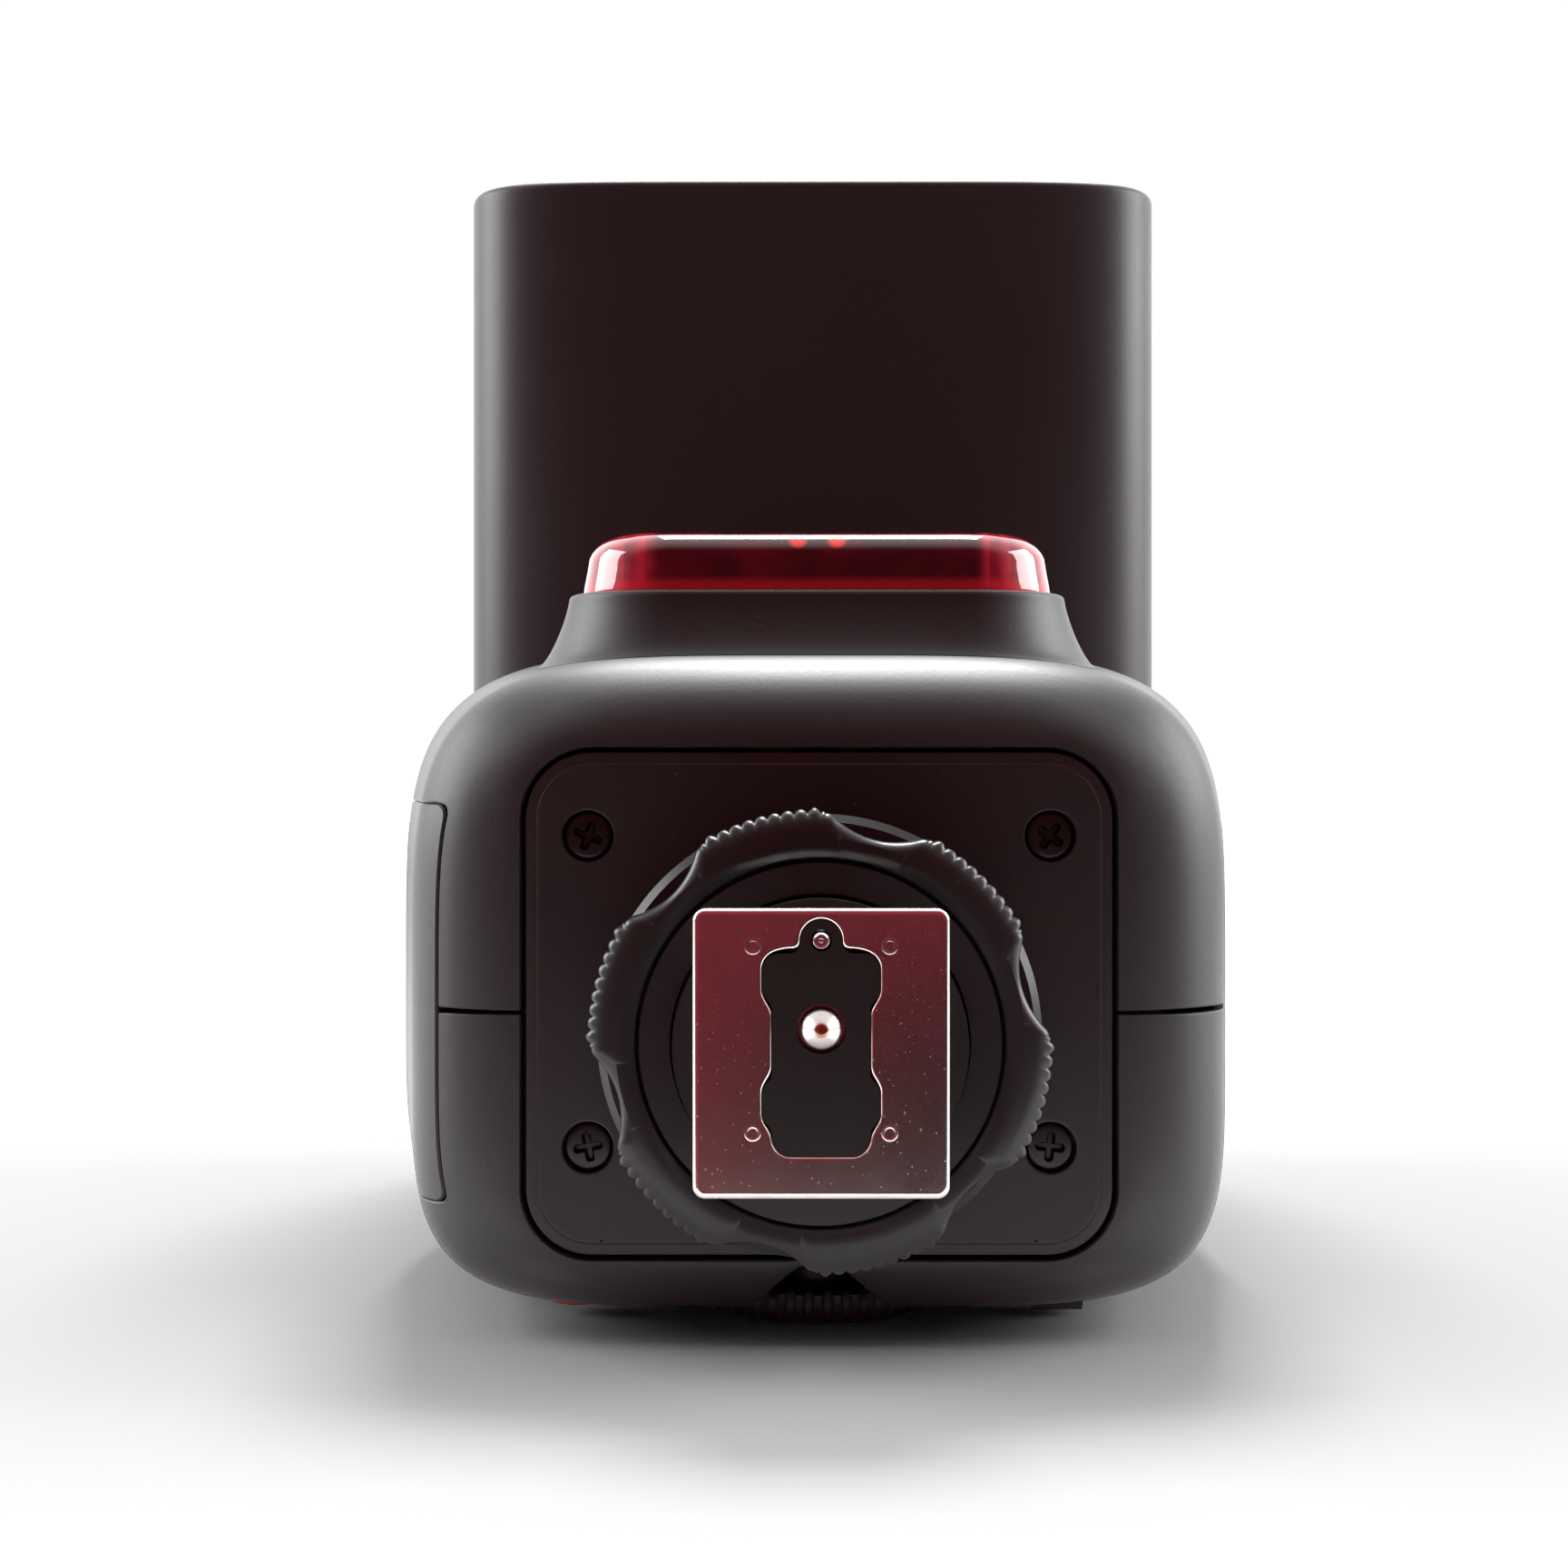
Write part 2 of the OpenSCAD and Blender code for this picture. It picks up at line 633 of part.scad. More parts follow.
module sync_jack() color([0.2, 0.2, 0.2]) {
    x = half_w(port_z) - shell_wall;
    difference() {
        translate([x - 13, port_y - 3.6, port_z - 3.6]) cube([13.2, 7.2, 7.2]);
        translate([x - 12, port_y + 1.2, port_z]) rotate([0, 90, 0]) cylinder(r = jack_bore_r, h = 14, $fn = 48);
    }
}

// Dog-bone outline of the black insert, with its rounded nose at the front
module dog_outline(grow = 0) {
    offset(grow, $fn = 32) {
        offset(-0.8, $fn = 32) offset(0.8, $fn = 32) {
            translate([0, -5.4]) offset(1.2, $fn = 32) square([2 * dog_lobe - 2.4, 1.4], center = true);
            translate([0, 3.6]) offset(1.2, $fn = 32) square([2 * dog_lobe - 2.4, 1.4], center = true);
            translate([-dog_waist, dog_front + 1.4]) square([2 * dog_waist, dog_back - dog_front - 2.8]);
            translate([0, dog_back - 2]) offset(1.4, $fn = 32) square([2 * dog_waist - 2.8, 1.2], center = true);
            translate([0, nose_y]) circle(r = 1.55, $fn = 32);
            translate([-1.55, nose_y]) square([3.1, 3]);
        }
    }
}

module foot_plate() color("silver") {
    difference() {
        linear_extrude(foot_t) rounded_rect(foot_w, foot_l, foot_corner);
        translate([0, 0, -1]) linear_extrude(foot_t + 2) dog_outline();
        for (sx = [-1, 1], y = foot_screw_y)
            translate([sx * foot_screw_x, y, -1]) cylinder(d = foot_screw_d + 2 * fix_gap, h = foot_t + 2, $fn = 32);
    }
}

module foot_screws() color("silver") {
    for (sx = [-1, 1], y = foot_screw_y)
        translate([sx * foot_screw_x, y, 0.06]) {
            cylinder(d = foot_screw_d, h = foot_t - 0.06, $fn = 32);
            translate([0, 0, foot_t - 0.06]) cylinder(d = 1.2, h = 2.4, $fn = 24);
        }
}

module foot_insert() color([0.06, 0.06, 0.06]) {
    difference() {
        translate([0, 0, 0.08]) linear_extrude(foot_t - 0.08) dog_outline(-fix_gap);
        translate([0, contact_y, -1]) cylinder(r = contact_d / 2 + ring_gap, h = foot_t + 2, $fn = 48);
        translate([0, nose_y, -1]) cylinder(d = pin_d + 0.3, h = foot_t + 2, $fn = 32);
    }
}

module centre_contact() color("silver") {
    translate([0, contact_y, 0]) {
        translate([0, 0, -contact_out]) cylinder(d1 = 0.9, d2 = contact_d, h = 1, $fn = 48);
        translate([0, 0, 1 - contact_out]) cylinder(d = contact_d, h = foot_t + 2, $fn = 48);
        translate([0, 0, foot_t + 3 - contact_out]) cylinder(d = contact_d + 1, h = 0.6, $fn = 48);
    }
}

module lock_pin() color("silver") {
    translate([0, nose_y, 0.1]) cylinder(d = pin_d, h = foot_t + pin_out + 2.9, $fn = 32);
    translate([0, nose_y, foot_t + pin_out + 3]) cylinder(d = pin_d + 0.7, h = 0.6, $fn = 32);
}

module foot_pedestal() color([0.07, 0.07, 0.07]) {
    difference() {
        union() {
            translate([-neck_w / 2, -foot_l / 2 + 1, foot_t]) cube([neck_w, foot_l - 2, neck_h]);
            translate([0, 0, neck_top]) cylinder(r = pedestal_r, h = plate_z + plate_t - neck_top, $fn = round_fn);
        }
        for (sx = [-1, 1], y = foot_screw_y)
            translate([sx * foot_screw_x, y, foot_t - 1]) cylinder(d = 1.3, h = 3.6, $fn = 24);
        translate([0, contact_y, foot_t - 1])
            cylinder(d = contact_d + 1 + 2 * ring_gap, h = 5 + 2 * contact_push, $fn = 48);
        translate([0, nose_y, foot_t - 1]) cylinder(d = pin_d + 1.4, h = 8, $fn = 32);
        translate([0, 2.6, plate_z - 6]) cylinder(r = 5, h = plate_t + 8, $fn = 48);
    }
}

module pedestal_collar() color([0.09, 0.09, 0.09]) {
    translate([0, 0, collar_z])
        difference() {
            union() {
                cylinder(r1 = collar_r - 0.6, r2 = collar_r, h = 0.6, $fn = round_fn);
                translate([0, 0, 0.6]) cylinder(r = collar_r, h = plate_z - collar_z - 0.6, $fn = round_fn);
            }
            translate([0, 0, -1]) cylinder(r = pedestal_r + fix_gap, h = plate_z, $fn = round_fn);
        }
}

// Scalloped ring: knurled arcs between shallow finger scallops
module lock_ring() color([0.08, 0.08, 0.085]) {
    pitch_angle = 360 / scallop_count;
    arc = pitch_angle * 0.55;
    teeth = floor(arc * PI / 180 * ring_r / knurl_pitch);
    dip = ring_r - scallop_depth + scallop_r;
    translate([0, 0, ring_z])
        difference() {
            union() {
                cylinder(r1 = ring_r - 0.9, r2 = ring_r - knurl_r, h = 0.6, $fn = round_fn);
                translate([0, 0, 0.6]) cylinder(r = ring_r - knurl_r, h = ring_h - 0.6, $fn = round_fn);
                for (s = [0:scallop_count - 1], t = [0:teeth - 1])
                    rotate([0, 0, scallop_start + (s + 0.5) * pitch_angle + arc * ((t + 0.5) / teeth - 0.5)])
                        translate([ring_r - 0.8, 0, 0.5])
                            rotate([0, 0, 45])
                                cube([1.1, 1.1, ring_h - 0.6]);
            }
            for (s = [0:scallop_count - 1])
                rotate([0, 0, scallop_start + s * pitch_angle])
                    translate([dip, 0, -1]) cylinder(r = scallop_r, h = ring_h + 2, $fn = 64);
            translate([0, 0, -1]) cylinder(r = ring_bore_r, h = ring_h + 2, $fn = round_fn);
            translate([0, 0, -1]) cylinder(r = washer_r + ring_gap, h = washer_t - washer_proud + 1, $fn = round_fn);
        }
}

module clamp_washer() color([0.05, 0.05, 0.05]) {
    translate([0, 0, ring_z - washer_proud - fix_gap])
        difference() {
            cylinder(r = washer_r, h = washer_t, $fn = round_fn);
            translate([0, 0, -1]) cylinder(r = ring_bore_r, h = washer_t + 2, $fn = round_fn);
        }
}

module bottom_plate() color([0.12, 0.12, 0.13]) {
    difference() {
        translate([0, plate_y, plate_z]) linear_extrude(plate_t) rounded_rect(plate_w, plate_d, plate_corner);
        translate([0, 0, plate_z - 1]) cylinder(r = pedestal_r + fix_gap, h = plate_t + 2, $fn = round_fn);
        for (sx = [-1, 1], y = plate_screw_y)
            translate([sx * plate_screw_x, y, plate_z - 1]) {
                cylinder(d = 2.2, h = plate_t + 2, $fn = 24);
                cylinder(d = plate_screw_d, h = 2.5, $fn = 48);
            }
    }
}

module bottom_screws() color([0.05, 0.05, 0.05]) {
    for (sx = [-1, 1], y = plate_screw_y)
        translate([sx * plate_screw_x, y, plate_z + 0.35])
            difference() {
                union() {
                    cylinder(d = plate_screw_d - 0.25, h = 1.15, $fn = 48);
                    cylinder(d = 2.1, h = plate_t + shell_wall - 0.4, $fn = 24);
                }
                for (a = [0, 90])
                    rotate([0, 0, a]) translate([-1.1, -0.22, -0.5]) cube([2.2, 0.44, 1.2]);
            }
}

// Swivelling base: cap disc, barrel in the shells' top opening and the block between the ears
module turret() color([0.12, 0.12, 0.13]) {
    difference() {
        union() {
            translate([0, tilt_y, body_top + 0.1]) cylinder(r = turret_r + 2.4, h = disc_t, $fn = round_fn);
            translate([0, tilt_y, body_top - 5.4]) cylinder(r = turret_r, h = 5.6, $fn = round_fn);
            translate([-neck_block_w / 2, tilt_y, tilt_z]) rotate([90, 0, 90])
                linear_extrude(neck_block_w)
                    hull() {
                        circle(r = barrel_r - 4, $fn = 64);
                        translate([-neck_foot / 2, body_top + 1 - tilt_z]) square([neck_foot, 1]);
                    }
            translate([-neck_block_w / 2, tilt_y, tilt_z]) rotate([0, 90, 0])
                cylinder(r = barrel_r, h = neck_block_w, $fn = round_fn);
        }
        translate([-neck_block_w, tilt_y, tilt_z]) rotate([0, 90, 0])
            cylinder(r = axle_r + 0.02, h = 2 * neck_block_w, $fn = 64);
        translate([0, tilt_y, body_top - 6]) cylinder(r = 6, h = tilt_z - body_top - axle_r + 0.5, $fn = 48);
    }
}

module turret_ring() color("silver") {
    translate([0, tilt_y, body_top - 5.3])
        difference() {
            cylinder(r = turret_r + 0.9, h = 1.6, $fn = round_fn);
            translate([0, 0, -1]) cylinder(r = turret_r, h = 5, $fn = round_fn);
        }
}

module tilt_axle() color("silver") {
    translate([-(head_w / 2 - 4), tilt_y, tilt_z]) rotate([0, 90, 0])
        difference() {
            cylinder(r = axle_r, h = head_w / 2 - 4 + ear_x + 5, $fn = 64);
            translate([0, 0, -1]) cylinder(r = 2.6, h = head_w + 4, $fn = 48);
        }
}

// Toothed disc fixed to the axle; the head clicks round it between its tilt stops
module detent_wheel() color("silver") {
    translate([ear_x + head_wall + 0.5, tilt_y, tilt_z]) rotate([0, 90, 0])
        difference() {
            union() {
                cylinder(r = 7.6, h = 1.6, $fn = round_fn);
                for (i = [0:23])
                    rotate([0, 0, i * 15]) translate([7.2, -0.5, 0]) cube([1.3, 1, 1.6]);
            }
            translate([0, 0, -1]) cylinder(r = axle_r + 0.02, h = 5, $fn = 64);
        }
}

module release_button() color([0.2, 0.2, 0.21]) {
    translate([head_w / 2 - 6.2, tilt_y, tilt_z]) rotate([0, 90, 0]) {
        cylinder(r = 5.5, h = 6.6, $fn = 64);
        translate([0, 0, 6.6]) cylinder(r1 = 5.5, r2 = 5.1, h = 0.4, $fn = 64);
        cylinder(r = 6.6, h = 0.8, $fn = 64);
    }
}

// The head's outer form at the horizontal, shrunk by cut: superellipse along the beam, round at the rear
module head_form(cut = 0) {
    intersection() {
        translate([0, tilt_y + head_t, tilt_z]) rotate([90, 0, 0])
            linear_extrude(head_reach + head_t - cut)
                polygon(squircle(head_w / 2 - cut, head_t / 2 - cut, head_power));
        translate([-head_w, tilt_y, tilt_z]) rotate([0, 90, 0])
            linear_extrude(2 * head_w) {
                circle(r = head_t / 2 - cut, $fn = 128);
                translate([-head_t, -head_reach - 1]) square([2 * head_t, head_reach + 1]);
            }
    }
}

// The space between the ears that the neck block passes through
module neck_notch(grow = 0) {
    translate([-ear_x - grow, notch_front - grow, tilt_z - head_t])
        cube([2 * (ear_x + grow), head_t * 2, head_t]);
    translate([-ear_x - grow, tilt_y, tilt_z]) rotate([0, 90, 0])
        cylinder(r = tilt_y - notch_front + grow, h = 2 * (ear_x + grow), $fn = round_fn);
}

module head_shell() {
    difference() {
        head_form();
        neck_notch();
        difference() {
            head_form(head_wall);
            neck_notch(head_wall);
            // Floor of the slot for the wide panel and the bounce card
            translate([-head_w, head_front - 1, slot_z - 1.2]) cube([2 * head_w, card_l + 8, 1.2]);
        }
        translate([0, 0, bezel_z]) upright_slab(bezel_w, bezel_h, 4, head_front - 1, lens_y + 3);
        translate([-slot_w / 2, head_front - 1, slot_z]) cube([slot_w, card_l, slot_h]);
        translate([-ear_x - head_wall - 1, tilt_y, tilt_z]) rotate([0, 90, 0])
            cylinder(r = axle_r + fix_gap, h = 2 * (ear_x + head_wall + 1), $fn = 64);
        translate([ear_x + head_wall + 3, tilt_y, tilt_z]) rotate([0, 90, 0])
            cylinder(r = 5.8, h = 30, $fn = 64);
        for (sx = [-1, 1])
            translate([sx * head_screw_x, head_screw_y, head_screw_z - 4]) {
                cylinder(d = 1.9, h = head_wall + 9, $fn = 24);
                cylinder(d = 3.6, h = 4.9, $fn = 48);
            }
    }
}

module head_lower_shell() color([0.12, 0.11, 0.115]) {
    intersection() {
        head_shell();
        translate([-head_w, head_front - 1, tilt_z - head_t]) cube([2 * head_w, head_reach + head_t, head_t]);
    }
}

module head_upper_shell() color([0.12, 0.11, 0.115]) {
    intersection() {
        head_shell();
        translate([-head_w, head_front - 1, tilt_z]) cube([2 * head_w, head_reach + head_t, head_t]);
    }
}

module head_screws() color([0.05, 0.05, 0.05]) {
    for (sx = [-1, 1])
        translate([sx * head_screw_x, head_screw_y, head_screw_z - 0.1]) {
            cylinder(d = 3.4, h = 1, $fn = 48);
            cylinder(d = 1.8, h = 2.2, $fn = 24);
        }
}

module fresnel_lens() color([0.85, 0.88, 0.9], 0.5) {
    translate([0, 0, bezel_z]) {
        upright_slab(bezel_w - 0.2, bezel_h - 0.2, 3.9, lens_y, lens_y + lens_t);
    }
}

module wide_panel() color([0.9, 0.92, 0.92], 0.5) {
    translate([-slot_w / 2 + 0.5, head_front - 0.8, slot_z + 1.5]) cube([slot_w - 1, card_l - 1, 1.3]);
}

module bounce_card() color("white") {
    translate([-slot_w / 2 + 0.5, head_front - 0.8, slot_z + 0.3]) cube([slot_w - 1, card_l - 1, 0.8]);
}

// Trough that opens towards the lens and closes round the flash tube
module reflector() color("silver") {
    translate([0, reflector_y + reflector_l, bezel_z])
        difference() {
            rotate([90, 0, 90]) translate([0, 0, -reflector_w / 2]) linear_extrude(reflector_w)
                polygon([[0, -reflector_rear], [0, reflector_rear],
                    [-reflector_l, reflector_h / 2], [-reflector_l, -reflector_h / 2]]);
            rotate([90, 0, 90]) translate([0, 0, -reflector_w / 2 + 1]) linear_extrude(reflector_w - 2)
                polygon([[-1, 1 - reflector_rear], [-1, reflector_rear - 1], [-reflector_l - 1, reflector_h / 2 - 0.6],
                    [-reflector_l - 1, -reflector_h / 2 + 0.6]]);
            translate([-reflector_w, -3.6, 0]) rotate([0, 90, 0])
                cylinder(r = tube_r + 0.15, h = 2 * reflector_w, $fn = 48);
        }
}

module flash_tube() color([0.9, 0.95, 1], 0.4) {
    translate([-reflector_w / 2 - 1.6, reflector_y + reflector_l - 3.6, bezel_z]) rotate([0, 90, 0])
        cylinder(r = tube_r, h = reflector_w + 3.2, $fn = 48);
}

// Saddle under the reflector that runs on the rod and is driven by the screw
module zoom_carriage() color([0.22, 0.22, 0.23]) {
    y0 = reflector_y + 8;
    post_top = bezel_z - reflector_rear - 1.7;
    difference() {
        union() {
            translate([-rod_x - 3, y0, rod_z - 3]) cube([6, 12, 6]);
            translate([rod_x - 3, y0, rod_z - 3]) cube([6, 12, 6]);
            translate([-rod_x + 1, y0 + 8, rod_z - 3]) cube([2 * rod_x - 2, 4, 3]);
            for (sx = [-1, 1])
                translate([sx * 12 - 2, y0 + 8, rod_z - 3]) cube([4, 4, post_top - rod_z + 3]);
        }
        translate([-rod_x, y0 - 1, rod_z]) rotate([-90, 0, 0]) cylinder(r = rod_r + 0.08, h = 14, $fn = 48);
        translate([rod_x, y0 - 1, rod_z]) rotate([-90, 0, 0]) cylinder(r = screw_r + 0.3, h = 14, $fn = 48);
    }
}

module zoom_rod() color("silver") {
    translate([-rod_x, rod_front, rod_z]) rotate([-90, 0, 0]) cylinder(r = rod_r, h = rod_back - rod_front, $fn = 48);
}

module zoom_screw() color("silver") {
    translate([rod_x, rod_front, rod_z]) rotate([-90, 0, 0]) {
        cylinder(r = screw_r - 0.25, h = rod_back - rod_front, $fn = 48);
        for (k = [0:floor((rod_back - rod_front - 4) / screw_pitch)])
            translate([0, 0, 1 + k * screw_pitch]) cylinder(r = screw_r, h = screw_pitch / 2, $fn = 48);
    }
}

module zoom_motor() color([0.6, 0.6, 0.62]) {
    translate([rod_x, rod_back + 0.4, rod_z]) rotate([-90, 0, 0]) cylinder(r = 4.2, h = 8, $fn = 64);
}

module head_board() color([0.1, 0.35, 0.2]) {
    z = slot_z - 4;
    y1 = notch_front - head_wall - 1;
    translate([-24, y1 - 26, z]) cube([48, 26, 1.4]);
    translate([-6, y1 - 8, z - 5]) cube([12, 8, 5]);
}

foot_plate();
foot_insert();
centre_contact();
lock_pin();
foot_screws();
foot_pedestal();
pedestal_collar();
lock_ring();
clamp_washer();
bottom_plate();
bottom_screws();
front_shell();
rear_shell();
battery_door();
door_pin();
door_contacts();
battery_holder();
cell_1();
cell_2();
cell_3();
cell_4();
cell_springs();
main_capacitor();
power_board();
power_transformer();
main_board();
front_panel();
assist_leds();
display_window();
display_module();
menu_button_1();
menu_button_2();
menu_button_3();
menu_button_4();
wireless_button();
zoom_button();
test_button();
set_button();
control_dial();
power_switch();
port_cover();
sync_jack();
turret();
turret_ring();
tilt_axle();
detent_wheel();
release_button();
head_lower_shell();
head_upper_shell();
fresnel_lens();
wide_panel();
bounce_card();
reflector();
flash_tube();
zoom_carriage();
zoom_motor();
zoom_screw();
zoom_rod();
head_board();
head_screws();
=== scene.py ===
import math

import bmesh
import bpy
import numpy as np
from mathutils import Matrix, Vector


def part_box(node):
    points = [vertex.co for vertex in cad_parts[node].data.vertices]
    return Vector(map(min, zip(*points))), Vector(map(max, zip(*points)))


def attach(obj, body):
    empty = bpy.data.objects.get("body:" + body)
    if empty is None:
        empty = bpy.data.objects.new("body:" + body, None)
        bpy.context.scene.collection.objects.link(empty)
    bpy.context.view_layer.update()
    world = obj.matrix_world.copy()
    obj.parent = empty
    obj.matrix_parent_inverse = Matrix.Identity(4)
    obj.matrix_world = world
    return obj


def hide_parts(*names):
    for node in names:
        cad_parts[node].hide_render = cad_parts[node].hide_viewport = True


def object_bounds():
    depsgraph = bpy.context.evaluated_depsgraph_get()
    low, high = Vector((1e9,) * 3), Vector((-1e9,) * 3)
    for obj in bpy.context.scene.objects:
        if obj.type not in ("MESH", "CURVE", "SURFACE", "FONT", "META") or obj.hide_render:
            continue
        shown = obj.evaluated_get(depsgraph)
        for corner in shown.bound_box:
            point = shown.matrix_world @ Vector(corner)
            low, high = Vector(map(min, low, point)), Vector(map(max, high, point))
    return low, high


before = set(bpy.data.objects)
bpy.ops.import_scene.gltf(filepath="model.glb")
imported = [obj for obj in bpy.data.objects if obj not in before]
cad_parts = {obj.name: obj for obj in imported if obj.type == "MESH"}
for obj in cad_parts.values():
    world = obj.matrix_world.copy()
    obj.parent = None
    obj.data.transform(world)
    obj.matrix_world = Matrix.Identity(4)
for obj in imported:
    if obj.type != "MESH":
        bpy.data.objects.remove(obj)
cad_low, cad_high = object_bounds()
scene = bpy.context.scene

# Camera
# It looks straight at the foot from below, a little in front of the body's middle, with the
# body's front at the top of the picture.
FOCAL, SENSOR = 63.63, 36
CAMERA_PLACE, CAMERA_LEAN = (-0.00192, -0.0195, -0.2), -0.00383
camera = bpy.data.objects.new("camera", bpy.data.cameras.new("camera"))
camera.data.lens = FOCAL
camera.data.sensor_width = SENSOR
camera.data.clip_start = 0.01
camera.location = CAMERA_PLACE
camera.rotation_euler = (math.pi, CAMERA_LEAN, 0)
scene.collection.objects.link(camera)
scene.camera = camera
scene.view_settings.view_transform = "Standard"
scene.view_settings.look = "None"

# Stage
# The object lies on its back on a white table, inside a bright tent that is open and dark on the
# camera's side, with something red above and to the left of it. The table only catches the shadow.
TABLE_Y, TABLE_NEAR, TABLE_FAR = 0.0249, -0.05, 3
WORLD = {"white": (1, 1, 1, 1), "dark": (0.024, 0.017, 0.017, 1), "red": (0.28, 0.030, 0.045, 1)}
world = bpy.data.worlds.new("tent")
world.use_nodes = True
scene.world = world


class Value:
    """One value in a shader: sums, products and powers of it become maths nodes."""

    def __init__(self, tree, socket):
        self.tree, self.socket = tree, socket

    def node(self, kind, settings, values, output=0):
        """Adds any other node: first its settings, then its values and links. Gives one output."""
        made = self.tree.nodes.new("ShaderNode" + kind)
        for key, value in settings.items():
            setattr(made, key, value)
        for key, value in values.items():
            if isinstance(value, Value):
                self.tree.links.new(value.socket, made.inputs[key])
            else:
                made.inputs[key].default_value = value
        return Value(self.tree, made.outputs[output])

    def maths(self, operation, *others):
        """One Math node on this value and the others."""
        values = dict(enumerate((self,) + others))
        return self.node("Math", {"operation": operation}, values)

    def __add__(self, other):
        return self.maths("ADD", other)

    def __sub__(self, other):
        return self.maths("SUBTRACT", other)

    def __rsub__(self, other):
        return (self * -1) + other

    def __mul__(self, other):
        return self.maths("MULTIPLY", other)

    def __truediv__(self, other):
        return self.maths("DIVIDE", other)

    def __pow__(self, other):
        return self.maths("POWER", other)

    def __neg__(self):
        return self * -1

    __radd__ = __add__
    __rmul__ = __mul__

    def size(self):
        return self.maths("ABSOLUTE")

    def step(self, low, high):
        """0 below low, 1 above high and a smooth S between them."""
        settings = {"interpolation_type": "SMOOTHSTEP"}
        return self.node("MapRange", settings, {0: self, 1: low, 2: high})

    def least(self, other):
        return self.maths("MINIMUM", other)

    def most(self, other):
        return self.maths("MAXIMUM", other)

    def between(self, a, b):
        """The colour a where this is 0, the colour b where it is 1."""
        return self.node("Mix", {"data_type": "RGBA"}, {0: self, 6: a, 7: b}, 2)

    def axes(self):
        """The three parts of a vector."""
        parts = self.tree.nodes.new("ShaderNodeSeparateXYZ")
        self.tree.links.new(self.socket, parts.inputs[0])
        return [Value(self.tree, parts.outputs[i]) for i in range(3)]

    def noise(self, scale, detail=2.0, roughness=0.5):
        """Soft noise from 0 to 1; scale is in features per millimetre."""
        values = {"Vector": self, "Scale": scale, "Detail": detail, "Roughness": roughness}
        return self.node("TexNoise", {}, values)


tree = world.node_tree
tree.nodes.clear()
start = Value(tree, tree.nodes.new("ShaderNodeTexCoord").outputs["Generated"])
side_x, side_y, side_z = start.axes()
towards_camera = (-side_z).step(-0.05, 0.62)
above = (-side_y).step(-0.3, 0.9)
behind = side_z.step(0.1, 0.9)
red_side = (-side_y).step(-0.058, -0.049).most((-side_x).step(0.029, 0.035))
glow = towards_camera.between(WORLD["white"], red_side.between(WORLD["dark"], WORLD["red"]))
tent = start.node("Background", {}, {"Color": glow, "Strength": 0.7 + above * 0.5 + behind * 1.3})
plain = start.node("Background", {}, {"Color": WORLD["white"], "Strength": 1.06})
seen = Value(tree, tree.nodes.new("ShaderNodeLightPath").outputs["Is Camera Ray"])
both = start.node("MixShader", {}, {0: seen, 1: tent, 2: plain})
tree.links.new(both.socket, tree.nodes.new("ShaderNodeOutputWorld").inputs["Surface"])

table_mesh = bpy.data.meshes.new("table")
table_points = [(x, TABLE_Y, z) for x, z in (
    (-TABLE_FAR, TABLE_NEAR), (TABLE_FAR, TABLE_NEAR), (TABLE_FAR, TABLE_FAR), (-TABLE_FAR, TABLE_FAR))]
table_mesh.from_pydata(table_points, [], [(0, 1, 2, 3)])
table = bpy.data.objects.new("table", table_mesh)
scene.collection.objects.link(table)
table.is_shadow_catcher = True


def area_light(name, place, target, size, watts):
    """A square soft light at place that faces target; sizes and places are in metres."""
    light = bpy.data.lights.new(name, "AREA")
    light.size = size
    light.energy = watts
    made = bpy.data.objects.new(name, light)
    made.location = place
    aim = type(cad_low)(target) - made.location
    made.rotation_euler = aim.to_track_quat("-Z", "Y").to_euler()
    scene.collection.objects.link(made)


area_light("light_above", (0.02, -0.60, 0.40), (0, 0, 0.03), 0.22, 7.0)
area_light("light_left", (-0.42, -0.20, 0.12), (0, -0.01, 0.06), 0.3, 2.2)
area_light("light_right", (0.42, -0.20, 0.12), (0, -0.01, 0.06), 0.3, 2.2)

# Foot plate
# A stamped and nickel-plated steel plate, riveted to the pedestal by four screws. Its edges are
# rounded over, and its hole has a dog-bone shape with a round nose at the front.
MM = 0.001
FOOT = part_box("foot_plate")
FOOT_W = (FOOT[1].x - FOOT[0].x) / MM
FOOT_L = (FOOT[1].y - FOOT[0].y) / MM
FOOT_T = (FOOT[1].z - FOOT[0].z) / MM
FOOT_ROUND = 0.42
NOSE_Y = -8.2
TURN = 2 * math.pi


def weld(sheets):
    """Joins grids of points, each with an optional mask of kept faces, into points and quads."""
    points, quads, count = [], [], 0
    for sheet in sheets:
        grid, keep = sheet if isinstance(sheet, tuple) else (sheet, None)
        rows, columns = grid.shape[:2]
        index = count + np.arange(rows * columns).reshape(rows, columns)
        corners = [index[:-1, :-1], index[:-1, 1:], index[1:, 1:], index[1:, :-1]]
        quad = np.stack(corners, -1)
        quads.append(quad.reshape(-1, 4) if keep is None else quad[keep])
        points.append(grid.reshape(-1, 3))
        count += rows * columns
    points, quads = np.concatenate(points), np.concatenate(quads)
    rounded = np.round(points, 4)
    _, first, inverse = np.unique(rounded, axis=0, return_index=True, return_inverse=True)
    return points[first], inverse.ravel()[quads]


